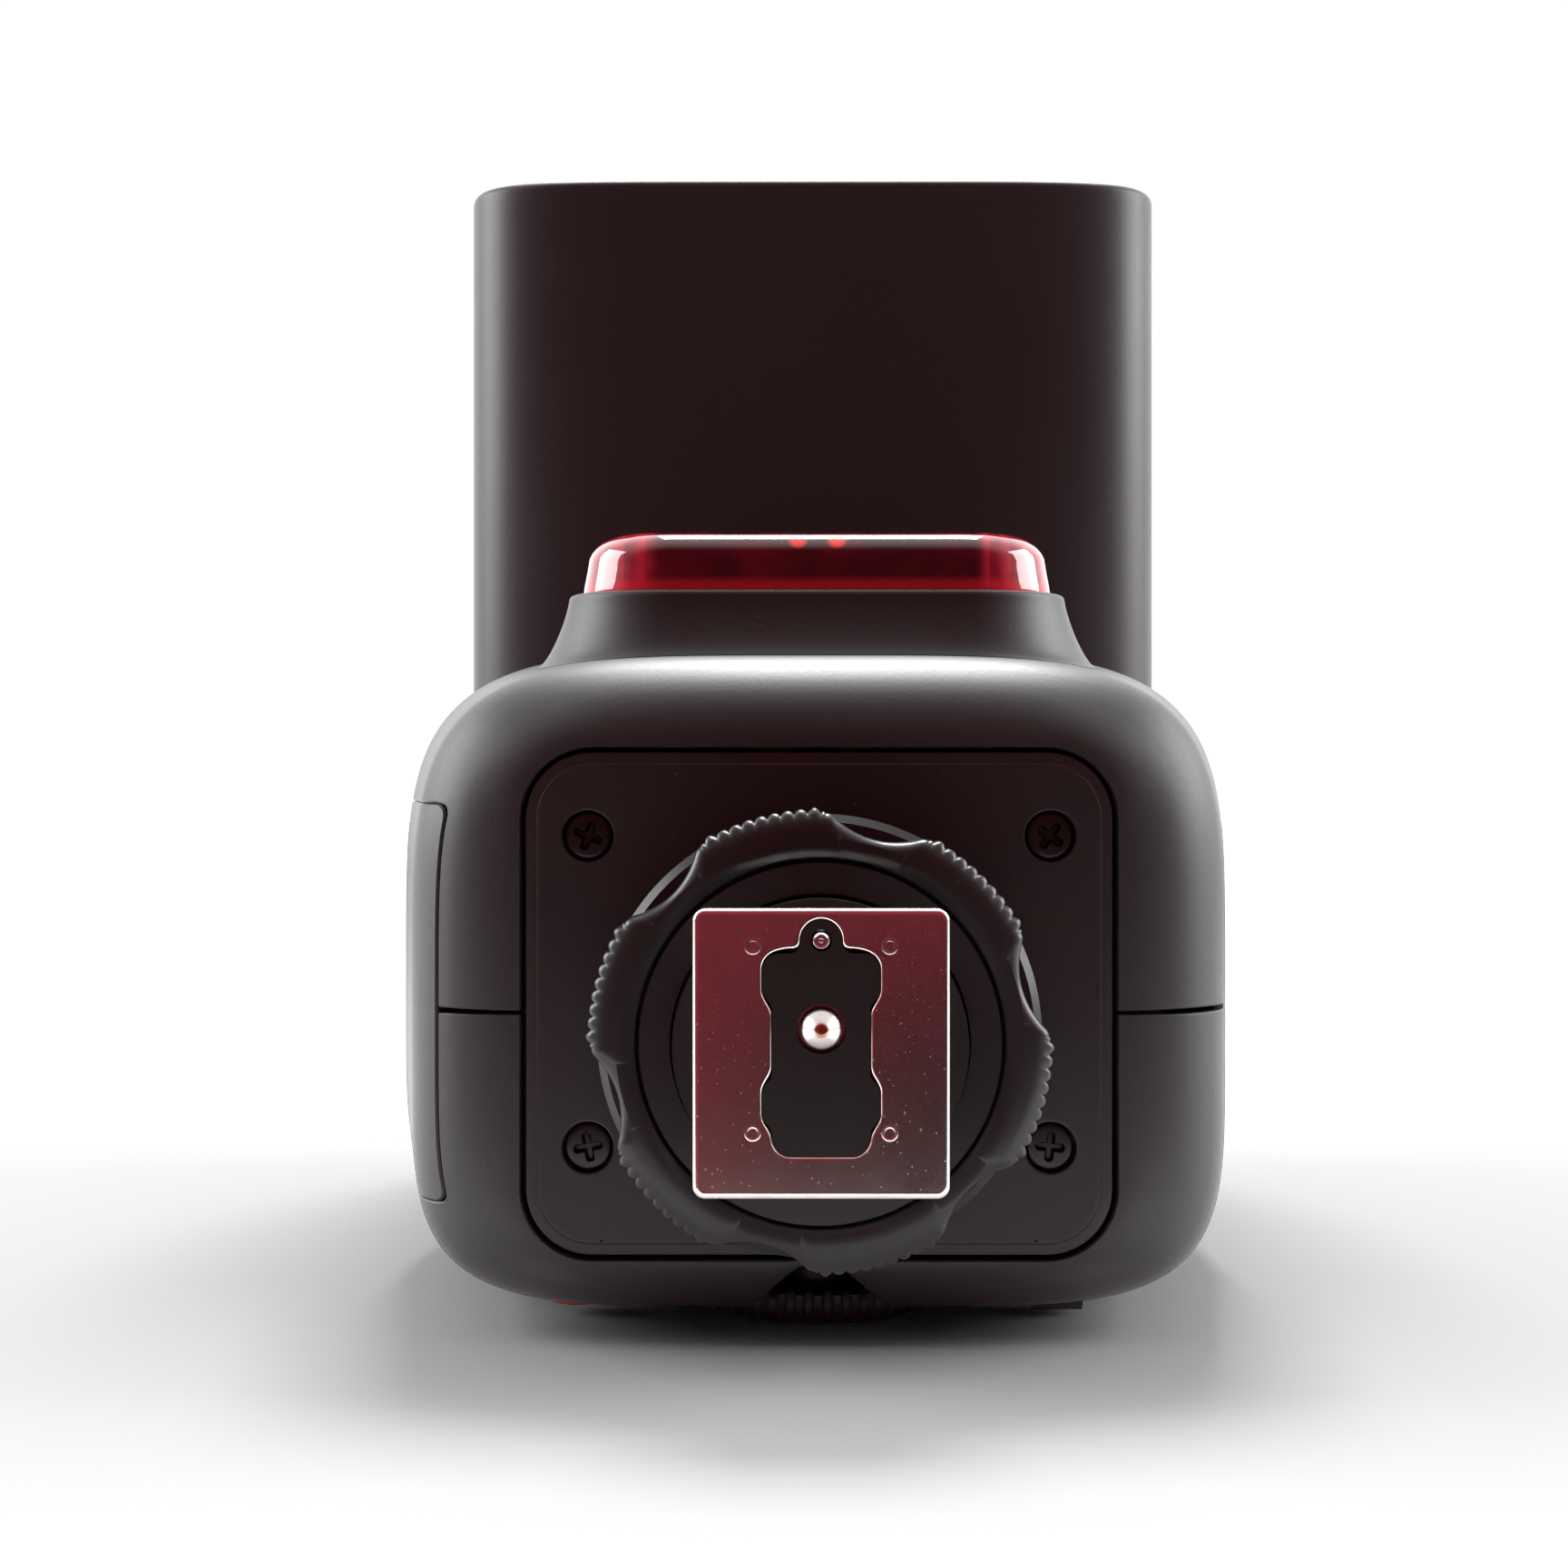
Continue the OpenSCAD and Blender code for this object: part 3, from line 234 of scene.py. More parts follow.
def shape(name, points, quads, material, sharp=38.0):
    """One mesh in millimetres, at the origin, with outward faces and sharp edges kept sharp."""
    mesh = bpy.data.meshes.new(name)
    faces = [tuple(dict.fromkeys(q)) for q in quads.tolist()]
    mesh.from_pydata((points * MM).tolist(), [], [f for f in faces if len(f) > 2])
    work = bmesh.new()
    work.from_mesh(mesh)
    bmesh.ops.recalc_face_normals(work, faces=work.faces)
    work.to_mesh(mesh)
    work.free()
    mesh.polygons.foreach_set("use_smooth", np.ones(len(mesh.polygons), bool))
    mesh.set_sharp_from_angle(angle=math.radians(sharp))
    mesh.materials.append(material)
    made = bpy.data.objects.new(name, mesh)
    scene.collection.objects.link(made)
    return made


def rounded_box(x, y, half_x, half_y, radius):
    """Distance to a rounded rectangle, negative inside it."""
    qx, qy = np.abs(x) - half_x + radius, np.abs(y) - half_y + radius
    outside = np.hypot(np.maximum(qx, 0), np.maximum(qy, 0))
    return outside + np.minimum(np.maximum(qx, qy), 0) - radius


def soft_union(a, b, k):
    """The smaller of two distances, with a fillet of about k where they cross."""
    h = np.clip(0.5 + 0.5 * (b - a) / k, 0, 1)
    return b + (a - b) * h - k * h * (1 - h)


def reach(distance, angles, centre=(0.0, 0.0), limit=60.0):
    """How far each ray from centre runs before distance turns positive, by halving."""
    c, s = np.cos(angles), np.sin(angles)
    low, high = np.zeros_like(angles), np.full_like(angles, limit)
    for _ in range(44):
        middle = (low + high) / 2
        inside = distance(centre[0] + middle * c, centre[1] + middle * s) < 0
        low, high = np.where(inside, middle, low), np.where(inside, high, middle)
    return low


def dog_bone(x, y, grow=0.0):
    """Distance to the black insert's outline."""
    lobes = rounded_box(x, y + 5.4, 4.3, 1.9, 1.2)
    lobes = soft_union(lobes, rounded_box(x, y - 3.6, 4.3, 1.9, 1.2), 0.01)
    waist = rounded_box(x, y, 3.6, 7.45, 1.4)
    nose = np.minimum(np.hypot(x, y - NOSE_Y) - 1.55, rounded_box(x, y + 6.8, 1.55, 1.4, 0.1))
    return soft_union(soft_union(lobes, waist, 0.9), nose, 0.6) - grow


def loop(sdf, angles, z, grow=0.0, centre=(0.0, 0.0)):
    """Points round an outline grown by grow, at height z."""
    radius = reach(lambda x, y: sdf(x, y) - grow, angles, centre)
    x, y = centre[0] + radius * np.cos(angles), centre[1] + radius * np.sin(angles)
    return np.stack([x, y, np.full_like(x, z)], -1)


def material_start(name):
    """A new material, and the place of each point in millimetres."""
    made = bpy.data.materials.new(name)
    made.use_nodes = True
    made.node_tree.nodes.clear()
    place = made.node_tree.nodes.new("ShaderNodeTexCoord").outputs["Object"]
    place = Value(made.node_tree, place)
    scaled = place.node("VectorMath", {"operation": "SCALE"}, {0: place, 3: 1 / MM})
    return made, scaled


def surface(place, values, height=None, strength=0.3, distance=0.05):
    """Ends a material in one principled surface, with a bump of that height if there is one."""
    if height is not None:
        bump = {"Height": height, "Strength": strength, "Distance": distance * MM}
        values = dict(values, Normal=place.node("Bump", {}, bump))
    end = place.node("BsdfPrincipled", {}, values)
    out = place.tree.nodes.new("ShaderNodeOutputMaterial")
    place.tree.links.new(end.socket, out.inputs["Surface"])


def polished(name, colour, roughness, specks=0.5):
    """Plated metal with faint scratches, cloudy wear and a few dark specks."""
    made, place = material_start(name)
    cloud = place.noise(0.35, 4.0, 0.6)
    fine = place.noise(2.6, 3.0, 0.7)
    x, y, z = place.axes()
    drawn = place.node("CombineXYZ", {}, {0: x * 0.25, 1: y * 6.0, 2: z})
    scratch = drawn.noise(1.0, 3.0, 0.6)
    speck = place.noise(3.4, 1.0, 0.4).step(0.70, 0.76) * specks
    dull = tuple(0.62 * v for v in colour[:3]) + (1,)
    tone = (cloud.step(0.35, 0.75) * 0.35 + speck).least(1.0).between(colour, dull)
    rough = roughness + cloud * 0.08 + fine * 0.05 + speck * 0.3
    surface(place, {"Base Color": tone, "Metallic": 1.0, "Roughness": rough},
            scratch * 0.5 + fine * 0.5, 0.12, 0.02)
    return made


foot_metal = polished("nickel", (0.86, 0.83, 0.80, 1), 0.10)
turn = np.linspace(0, TURN, 1081)


def foot_outline(x, y):
    """Distance to the plate's outside, negative inside it."""
    return rounded_box(x, y, FOOT_W / 2, FOOT_L / 2, 0.9)


rows = [loop(dog_bone, turn, FOOT_T), loop(dog_bone, turn, 0.1)]
rows += [loop(dog_bone, turn, 0.16 * (1 - math.sin(a)), 0.16 * (1 - math.cos(a)))
         for a in (0.4, 0.8, 1.2, math.pi / 2)]
rows += [loop(dog_bone, turn, 0, 0.2), loop(foot_outline, turn, 0, -FOOT_ROUND - 0.04)]
rows += [loop(foot_outline, turn, FOOT_ROUND * (1 - math.cos(a)), FOOT_ROUND * (math.sin(a) - 1))
         for a in np.linspace(0, math.pi / 2, 7)]
rows += [loop(foot_outline, turn, FOOT_T - 0.15), loop(foot_outline, turn, FOOT_T, -0.15)]
rows += [rows[0]]
foot = shape("nickel_foot_plate", *weld([np.stack(rows)]), foot_metal)
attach(foot, "root")
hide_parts("foot_plate")

# Foot screws
# Four small steel screws that look like rivets: each has a domed head with a dimple in the
# middle. They hold the foot plate to the pedestal.


def lathe(profile, centre=(0.0, 0.0), count=64):
    """Turns (radius, height) pairs round the upright line through centre."""
    a = np.linspace(0, TURN, count + 1)
    profile = np.array(profile, float)
    x = centre[0] + profile[:, :1] * np.cos(a)
    y = centre[1] + profile[:, :1] * np.sin(a)
    return np.stack([x, y, np.broadcast_to(profile[:, 1:], x.shape)], -1)


RIVET = [(0, 0.16), (0.14, 0.15), (0.24, 0.05), (0.34, 0.0), (0.48, -0.02), (0.60, -0.01),
         (0.68, 0.05), (0.72, 0.12), (0.76, 0.10), (0.80, 0.02), (0.86, 0.0), (0.90, 0.04),
         (0.90, 0.4)]
rivets = [lathe(RIVET, (sx * 4.95, y), 48) for sx in (-1, 1) for y in (-7.8, 5.7)]
heads = shape("rivet_heads", *weld(rivets), polished("rivet_steel", (0.72, 0.68, 0.66, 1), 0.18))
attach(heads, "root")
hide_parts("foot_screws")

# Centre contact
# A sprung plunger of plated brass with a cone-shaped tip, whose plating has worn at the point. Its
# collar holds it in the insert's bore.
CONTACT_Y = -1.8
made, place = material_start("contact_plating")
px, py, pz = place.axes()
worn = (-pz).step(0.95, 1.18)
cloud = place.noise(1.6, 3.0, 0.6)
tone = worn.between((0.82, 0.80, 0.76, 1), (0.45, 0.22, 0.12, 1))
surface(place, {"Base Color": tone, "Metallic": 1.0, "Roughness": 0.2 + cloud * 0.12},
        cloud, 0.1, 0.02)
CONTACT = [(0, -1.2), (0.28, -1.2), (0.42, -1.16), (0.52, -1.08), (1.30, -0.36), (1.42, -0.22),
           (1.49, -0.05), (1.5, 0.1), (1.5, 2.8), (2.0, 2.8), (2.0, 3.4), (0, 3.4)]
contact = shape("contact_tip", *weld([lathe(CONTACT, (0, CONTACT_Y), 96)]), made)
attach(contact, "contact")
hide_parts("centre_contact")

# Lock pin
# A thin turned steel pin with a hollow end. It comes out of the insert's nose as the ring is done
# up.
PIN = [(0, 0.26), (0.12, 0.25), (0.16, 0.16), (0.2, 0.27), (0.42, 0.27), (0.48, 0.14), (0.56, 0.1),
       (0.62, 0.14), (0.65, 0.2), (0.65, 6.6), (1.0, 6.6), (1.0, 7.2), (0, 7.2)]
pin_steel = polished("pin_steel", (0.8, 0.8, 0.8, 1), 0.15)
pin = shape("pin_end", *weld([lathe(PIN, (0, NOSE_Y), 64)]), pin_steel)
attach(pin, "pin")
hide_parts("lock_pin")

# Lock ring
# A moulded black ring that turns on the pedestal's thread and presses the washer down on the shoe.
# It has six finger scallops, and knurled arcs between them.
RING_Z, RING_H, RING_R, RING_BORE = 8.0, 5.0, 17.7, 11.3
SCALLOP_R, SCALLOP_DEEP, KNURL_PITCH, ARC = 6.6, 1.9, 1.05, math.radians(33)


def ring_edge(angles, knurl):
    """Outer radius at each angle: scallops cut it, and teeth stand on the arcs between them."""
    step = TURN / 6
    phase = (angles - math.radians(45) + step / 2) % step - step / 2
    middle = RING_R - SCALLOP_DEEP + SCALLOP_R
    side = middle * np.sin(np.abs(phase))
    cut = middle * np.cos(phase) - np.sqrt(np.maximum(SCALLOP_R ** 2 - side ** 2, 0))
    scallop = np.where(side < SCALLOP_R, cut, RING_R)
    from_arc = np.abs(np.abs(phase) - step / 2)
    teeth = np.abs(np.cos(from_arc * RING_R / KNURL_PITCH * math.pi)) ** 0.8
    fade = np.clip((ARC / 2 - from_arc) / 0.02, 0, 1)
    outer = RING_R - 0.42 + knurl * 0.42 * teeth * fade
    return soft_union(outer, scallop, 0.35)


def plastic(name, colour, roughness, grain, bump, specks):
    """Moulded plastic: fine spark-eroded grain, slow changes of gloss and a little pale dust."""
    made, place = material_start(name)
    fine = place.noise(grain, 3.0, 0.65)
    cells = place.node("TexVoronoi", {}, {"Vector": place, "Scale": grain * 0.8})
    slow = place.noise(0.05, 3.0, 0.5)
    dust = place.noise(1.7, 2.0, 0.5).step(0.735, 0.78) * place.noise(0.12).step(0.45, 0.7) * specks
    light = tuple(min(1.0, 1.5 * v) for v in colour[:3]) + (1,)
    tone = (fine.step(0.35, 0.75) * 0.5 + slow * 0.3).between(colour, light)
    tone = dust.between(tone, (0.30, 0.29, 0.28, 1))
    rough = roughness + (slow - 0.5) * 0.10 + (fine - 0.5) * 0.14 + dust * 0.3
    surface(place, {"Base Color": tone, "Roughness": rough, "Specular IOR Level": 0.45},
            fine * 0.6 + cells * 0.4, bump, 0.03)
    return made


ring_plastic = plastic("satin_black", (0.011, 0.011, 0.012, 1), 0.34, 5.0, 0.12, 0.5)
ring_turn = np.linspace(0, TURN, 2161)
PROFILE = [(RING_BORE, RING_H), (RING_BORE, 0.7), (13.75, 0.7), (13.85, 0.6), (13.9, 0.12),
           (14.05, 0), (15.4, 0.05)]
rows = [np.stack([r * np.cos(ring_turn), r * np.sin(ring_turn), np.full_like(ring_turn, RING_Z + up)], -1)
        for r, up in PROFILE]
EDGE = [(-1.15, 0.12, 0), (-0.75, 0.22, 0), (-0.4, 0.4, 0), (-0.16, 0.62, 0.3), (-0.04, 0.85, 0.8),
        (0, 1.2, 1), (0, RING_H - 1.0, 1), (-0.05, RING_H - 0.5, 0.8), (-0.3, RING_H - 0.15, 0.2),
        (-0.7, RING_H, 0)]
for inward, up, knurl in EDGE:
    r = ring_edge(ring_turn, knurl) + inward
    upright_z = np.full_like(r, RING_Z + up)
    rows.append(np.stack([r * np.cos(ring_turn), r * np.sin(ring_turn), upright_z], -1))
rows.append(rows[0])
ring = shape("knurled_ring", *weld([np.stack(rows)]), ring_plastic, 50.0)
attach(ring, "ring")
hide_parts("lock_ring")

# Bottom plate
# A moulded plate let into the underside of both shells and held by four cross-head screws in
# counterbores. A thin step runs round it just inside its edge.
PLATE_Z, PLATE_Y, PLATE_W, PLATE_D, PLATE_R = 18.0, -2.2, 46.2, 39.6, 5.2
SCREW_X, SCREW_Y, BORE_R = 18.2, (-15.4, 9.1), 2.03
MIDDLE_Y = sum(SCREW_Y) / 2


def plate_outline(x, y):
    """Distance to the bottom plate's edge, negative inside it."""
    return rounded_box(x, y - PLATE_Y, PLATE_W / 2, PLATE_D / 2, PLATE_R)


underside = plastic("underside_black", (0.0125, 0.0105, 0.0110, 1), 0.42, 4.2, 0.2, 0.5)
turn = np.linspace(0, TURN, 721)
STEP_IN = 0.95
edge_rows = [(-STEP_IN - 0.25, 0.0), (-STEP_IN, 0.02), (-STEP_IN + 0.10, 0.14), (-0.2, 0.16),
             (-0.06, 0.2), (0.0, 0.32), (0.0, 2.4)]
sheets = [np.stack([
    loop(plate_outline, turn, PLATE_Z + z, grow, (0, PLATE_Y)) for grow, z in edge_rows])]
bore_rows = [(BORE_R + 0.18, 0), (BORE_R + 0.12, 0), (BORE_R + 0.03, 0.03), (BORE_R, 0.12), (BORE_R, 1.5),
             (0.0, 1.5)]
ray = np.linspace(0, TURN, 241)
for sx in (-1, 1):
    for k, y in enumerate(SCREW_Y):
        sy = -1 if k == 0 else 1

        def quadrant(px, py, sx=sx, sy=sy):
            """Distance to the quarter of the plate's flat that holds this screw."""
            inner = plate_outline(px, py) + STEP_IN + 0.25
            return np.maximum(np.maximum(inner, -sx * px), -sy * (py - MIDDLE_Y))

        angles = ray if sx > 0 else math.pi - ray
        angles = angles if sy > 0 else -angles
        at = (sx * SCREW_X, y)
        rows = [loop(quadrant, angles, PLATE_Z, 0, at)]
        for r, z in bore_rows:
            x = at[0] + r * np.cos(angles)
            rows.append(np.stack([x, at[1] + r * np.sin(angles), np.full_like(x, PLATE_Z + z)], -1))
        sheets.append(np.stack(rows))
plate = shape("moulded_bottom_plate", *weld(sheets), underside, 30.0)
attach(plate, "root")
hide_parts("bottom_plate")

# Bottom screws
# Four black zinc-plated steel screws with a cross recess, sunk into the plate's counterbores.
# They hold the plate to both shells.


def cross(x, y, turned):
    """Depth of the cross recess at a point, with sloping walls."""
    c, s = math.cos(turned), math.sin(turned)
    u, v = np.abs(x * c + y * s), np.abs(y * c - x * s)
    arm = np.minimum(np.hypot(np.maximum(u - 0.85, 0), v), np.hypot(np.maximum(v - 0.85, 0), u))
    return np.clip((0.34 - arm) / 0.16, 0, 1) * 0.75


def screw_head(at, radius, top, turned):
    """A domed head as rings of points; top is its height, and the recess goes up into it."""
    a = np.linspace(0, TURN, 97)
    rim_shares = radius * np.array([0.88, 0.94, 0.98, 1.0, 1.0])
    r = np.concatenate([np.linspace(0, radius * 0.8, 40), rim_shares])
    dome = np.concatenate([0.10 * (np.linspace(0, 0.8, 40)) ** 2, [0.10, 0.14, 0.22, 0.4, 1.2]])
    x, y = r[:, None] * np.cos(a), r[:, None] * np.sin(a)
    z = top + dome[:, None] + cross(x, y, turned)
    return np.stack([at[0] + x, at[1] + y, z], -1)


HEAD_R, SUNK = 1.88, 0.38
TURNS = (0.35, 0.62, -0.2, 0.1)
places = [(sx * SCREW_X, y) for y in SCREW_Y for sx in (-1, 1)]
screws = [screw_head(at, HEAD_R, PLATE_Z + SUNK, t) for at, t in zip(places, TURNS)]
black_zinc = polished("black_zinc", (0.045, 0.044, 0.045, 1), 0.3, 0.2)
screw_piece = shape("cross_head_screws", *weld(screws), black_zinc)
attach(screw_piece, "root")
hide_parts("bottom_screws")

# Front shell
# The moulded front half of the body. Its sides draw in towards the bottom, its edges are rounded
# over, and a mound with a hollow flare carries the red panel. It is screwed to the rear shell.
BODY_W, FRONT_Y, BACK_Y, SPLIT_Y, TOP_Z, BULGE_Z = 76.0, -31.9, 23.0, -1.5, 81.5, 57.37
BOTTOM_ROUND, TOP_ROUND, GROOVE, OPEN = 8.0, 9.0, 0.35, 0.35
FRONT_POWER, BACK_POWER = 4.4, 5.2
DOOR_Y, DOOR_Z = (-17.8, 13.8), (21.0, 60.3)
PORT_Y, PORT_Z = (1.7, 14.3), (61.07, 71.67)
PLATE_GAP = 0.5


def draft(z):
    """Share of the full width at height z."""
    low = 1 - 0.16 * (BULGE_Z - z) / (BULGE_Z - PLATE_Z)
    return np.where(z < BULGE_Z, low, 1 - 0.06 * ((z - BULGE_Z) / (TOP_Z - BULGE_Z)) ** 2)


def inset(z):
    """How far the rounded edges pull the outline in at height z."""
    low = np.clip(PLATE_Z + BOTTOM_ROUND - z, 0, BOTTOM_ROUND)
    high = np.clip(z - (TOP_Z - TOP_ROUND), 0, TOP_ROUND)
    bottom = BOTTOM_ROUND - np.sqrt(BOTTOM_ROUND ** 2 - low ** 2)
    return bottom + TOP_ROUND - np.sqrt(TOP_ROUND ** 2 - high ** 2)


def half_width(z):
    """Half the body's width at height z."""
    return BODY_W / 2 * draft(z) - inset(z)


def half_depth(z, front):
    """How far the front or back face lies from the parting plane at height z."""
    if front:
        return (SPLIT_Y - FRONT_Y) * (draft(z) + 1) / 2 - inset(z)
    return BACK_Y - SPLIT_Y - inset(z)


def side_x(y, z, front):
    """Half width of the body at a point of its side."""
    n = FRONT_POWER if front else BACK_POWER
    share = np.clip(np.abs(y - SPLIT_Y) / half_depth(z, front), 0, 1)
    return half_width(z) * (1 - share ** n) ** (1 / n)


def face_y(x, z, front):
    """Depth of the body's front or back at a point of it."""
    n = FRONT_POWER if front else BACK_POWER
    share = np.clip(np.abs(x) / half_width(z), 0, 1)
    reach_y = half_depth(z, front) * (1 - share ** n) ** (1 / n)
    return SPLIT_Y - reach_y if front else SPLIT_Y + reach_y


def half_shell(front, side_ys, levels, around=60):
    """Grid of one shell: a column for each side_ys, then round the front or back, then the side_ys
    of the other side; a row for each level. side_ys is a pair of lists, for -X and for +X."""
    n, sign = (FRONT_POWER, -1) if front else (BACK_POWER, 1)
    z = np.array(levels, float)[:, None]
    depth, width = half_depth(z, front), half_width(z)
    columns = []
    for side, ys in zip((-1, 1), side_ys):
        over = np.clip((z - TOP_Z + TOP_ROUND) / TOP_ROUND, 0, 1)
        ys = SPLIT_Y + (np.array(ys, float)[None] - SPLIT_Y) * (1 - 0.4 * over ** 2)
        x = side * side_x(ys, z, front)
        share = np.abs(ys[:, -1:] - SPLIT_Y) / depth
        start = np.arctan2(share, (1 - share ** n) ** (1 / n))
        a = start + (math.pi / 2 - start) * np.linspace(0, 1, around + 1)[None, 1:]
        c, s = np.cos(a), np.sin(a)
        rho = (np.abs(c) ** n + s ** n) ** (1 / n)
        xx = np.concatenate([x, side * width * c / rho], 1)
        yy = np.concatenate([ys, SPLIT_Y + sign * depth * s / rho], 1)
        part = np.stack([xx, yy, np.broadcast_to(z, xx.shape)], -1)
        columns.append(part if side < 0 else part[:, ::-1][:, 1:])
    return np.concatenate(columns, 1)


def groove_point(x, y):
    """The edge of the plate's recess, on the ray from the parting line's middle."""
    a = np.arctan2(y - SPLIT_Y, x)
    r = reach(lambda px, py: plate_outline(px, py) - PLATE_GAP, a, (0, SPLIT_Y))
    return np.stack([r * np.cos(a), SPLIT_Y + r * np.sin(a)], -1)


def with_bottom(grid, rows=10):
    """Adds the rows that run from the first level in to the plate's recess and up into it."""
    p1, p2 = grid[0], grid[1]
    flat = groove_point(p1[:, 0], p1[:, 1])
    p0 = np.concatenate([flat, np.full((len(flat), 1), PLATE_Z + 0.05)], 1)
    run = np.linalg.norm(p1[:, :2] - p0[:, :2], axis=1, keepdims=True)
    out = (p1[:, :2] - p0[:, :2]) / run
    t0 = np.concatenate([out, np.zeros_like(run)], 1) * run
    slope = p2 - p1
    t1 = slope / np.linalg.norm(slope, axis=1, keepdims=True) * np.hypot(run, p1[:, 2:] - PLATE_Z)
    t = np.linspace(0, 1, rows + 1)[:-1, None, None]
    curve = ((2 * t ** 3 - 3 * t ** 2 + 1) * p0 + (t ** 3 - 2 * t ** 2 + t) * t0
             + (3 * t ** 2 - 2 * t ** 3) * p1 + (t ** 3 - t ** 2) * t1)
    lip = curve[0] * 1.0
    lip[:, 2] += 0.16
    lip[:, :2] -= out * 0.14
    wall = lip * 1.0
    wall[:, 2] = PLATE_Z + 2.2
    return np.concatenate([wall[None], lip[None], curve, grid])


def with_top(grid):
    """Closes the top inwards, under the turret."""
    last = grid[-1]
    centre = np.array([0, -3.0, 0])
    rows = [last * [k, k, 1] + centre * (1 - k) for k in (0.93, 0.82)]
    return np.concatenate([grid, np.stack(rows)])


def rim(points, quads, depth, bevel=0.13, inner=(0.0, 0.0, 50.0)):
    """Turns every open edge of a skin inwards: a small bevel first, then a wall of that depth."""
    corner = points[quads]
    normal = np.cross(corner[:, 2] - corner[:, 0], corner[:, 3] - corner[:, 1])
    if np.sum(normal * (corner.mean(1) - np.array(inner))) < 0:
        quads = quads[:, ::-1]
        normal = -normal
    smooth = np.zeros_like(points)
    for k in range(4):
        np.add.at(smooth, quads[:, k], normal)
    smooth /= np.maximum(np.linalg.norm(smooth, axis=1, keepdims=True), 1e-9)
    edges = np.concatenate([quads[:, [k, (k + 1) % 4]] for k in range(4)])
    edges = edges[edges[:, 0] != edges[:, 1]]
    key = np.sort(edges, 1)
    _, back, count = np.unique(key, axis=0, return_inverse=True, return_counts=True)
    border = edges[count[back.ravel()] == 1]
    out = np.zeros_like(points)
    along = points[border[:, 1]] - points[border[:, 0]]
    for k in range(2):
        np.add.at(out, border[:, k], np.cross(along, smooth[border[:, k]]))
    out /= np.maximum(np.linalg.norm(out, axis=1, keepdims=True), 1e-9)
    used = np.unique(border)
    place = np.full(len(points), -1)
    place[used] = np.arange(len(used))
    deep = depth(points[used])[:, None]
    first = points[used] + out[used] * bevel - smooth[used] * bevel
    second = first - smooth[used] * deep
    n = len(points)
    ring1 = n + place[border]
    ring2 = ring1 + len(used)
    strip1 = np.stack([border[:, 1], border[:, 0], ring1[:, 0], ring1[:, 1]], -1)
    strip2 = np.stack([ring1[:, 1], ring1[:, 0], ring2[:, 0], ring2[:, 1]], -1)
    return np.concatenate([points, first, second]), np.concatenate([quads, strip1, strip2])


def round_corners(points, centre_y, centre_z, radius, y_sign, z_sign, side, front):
    """Pulls the border points of an opening's corner on to an arc, along the skin."""
    dy, dz = (points[:, 1] - centre_y) * y_sign, (points[:, 2] - centre_z) * z_sign
    corner = (dy > 0) & (dz > 0) & (np.maximum(dy, dz) <= radius * 1.001) & (points[:, 0] * side > 0)
    length = np.maximum(np.hypot(dy, dz), 1e-9)
    y = centre_y + y_sign * dy / length * radius
    z = centre_z + z_sign * dz / length * radius
    moved = np.stack([side * side_x(y, z, front), y, z], -1)
    on_arc = corner & (np.abs(np.maximum(dy, dz) - radius) < 1e-3)
    return np.where(on_arc[:, None], moved, points)


door_z0, door_z1 = DOOR_Z[0] - OPEN, DOOR_Z[1] + 1.6 + OPEN
LEVELS = np.concatenate([
    [door_z0, door_z0 + 0.5], np.linspace(22.2, 30, 16), np.linspace(31, 60, 28),
    [PORT_Z[0], door_z1 - 0.6, door_z1], np.linspace(63, PORT_Z[1], 10), [72.5],
    TOP_Z - TOP_ROUND + TOP_ROUND * np.sin(np.linspace(0.12, math.pi / 2, 13))])
door_row = slice(0, int(np.argmin(np.abs(LEVELS - door_z1))))
BOTTOM_ROWS = 12


def shell(front, side_ys):
    """One shell's skin, with the openings of the door and the port cover left out."""
    grid = with_top(with_bottom(half_shell(front, side_ys, LEVELS)))
    keep = np.ones((grid.shape[0] - 1, grid.shape[1] - 1), bool)
    keep[BOTTOM_ROWS:BOTTOM_ROWS + door_row.stop, :len(side_ys[0]) - 1] = False
    if not front:
        ys = np.array(side_ys[1])
        low, high = [BOTTOM_ROWS + int(np.argmin(np.abs(LEVELS - z))) for z in PORT_Z]
        last = grid.shape[1] - 1
        first = last - int(np.argmin(np.abs(ys - PORT_Y[1])))
        keep[low:high, first:last - int(np.argmin(np.abs(ys - PORT_Y[0])))] = False
    return grid, keep


body_plastic = plastic("body_charcoal", (0.0165, 0.0165, 0.0178, 1), 0.46, 3.4, 0.3, 0.25)
front_ys = np.concatenate([
    [SPLIT_Y - GROOVE, -2.2], np.linspace(-2.8, -17.0, 22), [-17.6, DOOR_Y[0] - OPEN]])
points, quads = weld([shell(True, (front_ys, front_ys))])
CORNER = 1.15
corner_y = DOOR_Y[0] - OPEN + CORNER
for z, up in ((door_z0, -1), (door_z1, 1)):
    points = round_corners(points, corner_y, z - up * CORNER, CORNER, -1, up, -1, True)


def wall_depth(p):
    """Door openings show the wall's thickness; the parting line is only a shallow groove."""
    return np.where(np.abs(p[:, 1] - SPLIT_Y) < 0.5, 0.7, 1.9)


points, quads = rim(points, quads, wall_depth)
PANEL_W, PANEL_H, PANEL_ZC, MOUND_Y = 40.6, 40.0, 53.0, -35.8
turn = np.linspace(0, TURN, 361)


def mound_outline(x, z, grow=0.0):
    """Distance to the mound's rim, grown by grow."""
    return rounded_box(x, z - PANEL_ZC, 21.5 + grow, 21.2 + grow * 0.86, 9.2 + grow)


def upright(sdf, angles, y):
    """Points round an outline in a plane of constant depth."""
    flat = loop(sdf, angles, 0, 0, (0, PANEL_ZC))
    return np.stack([flat[:, 0], np.full(len(flat), float(y)), flat[:, 1]], -1)


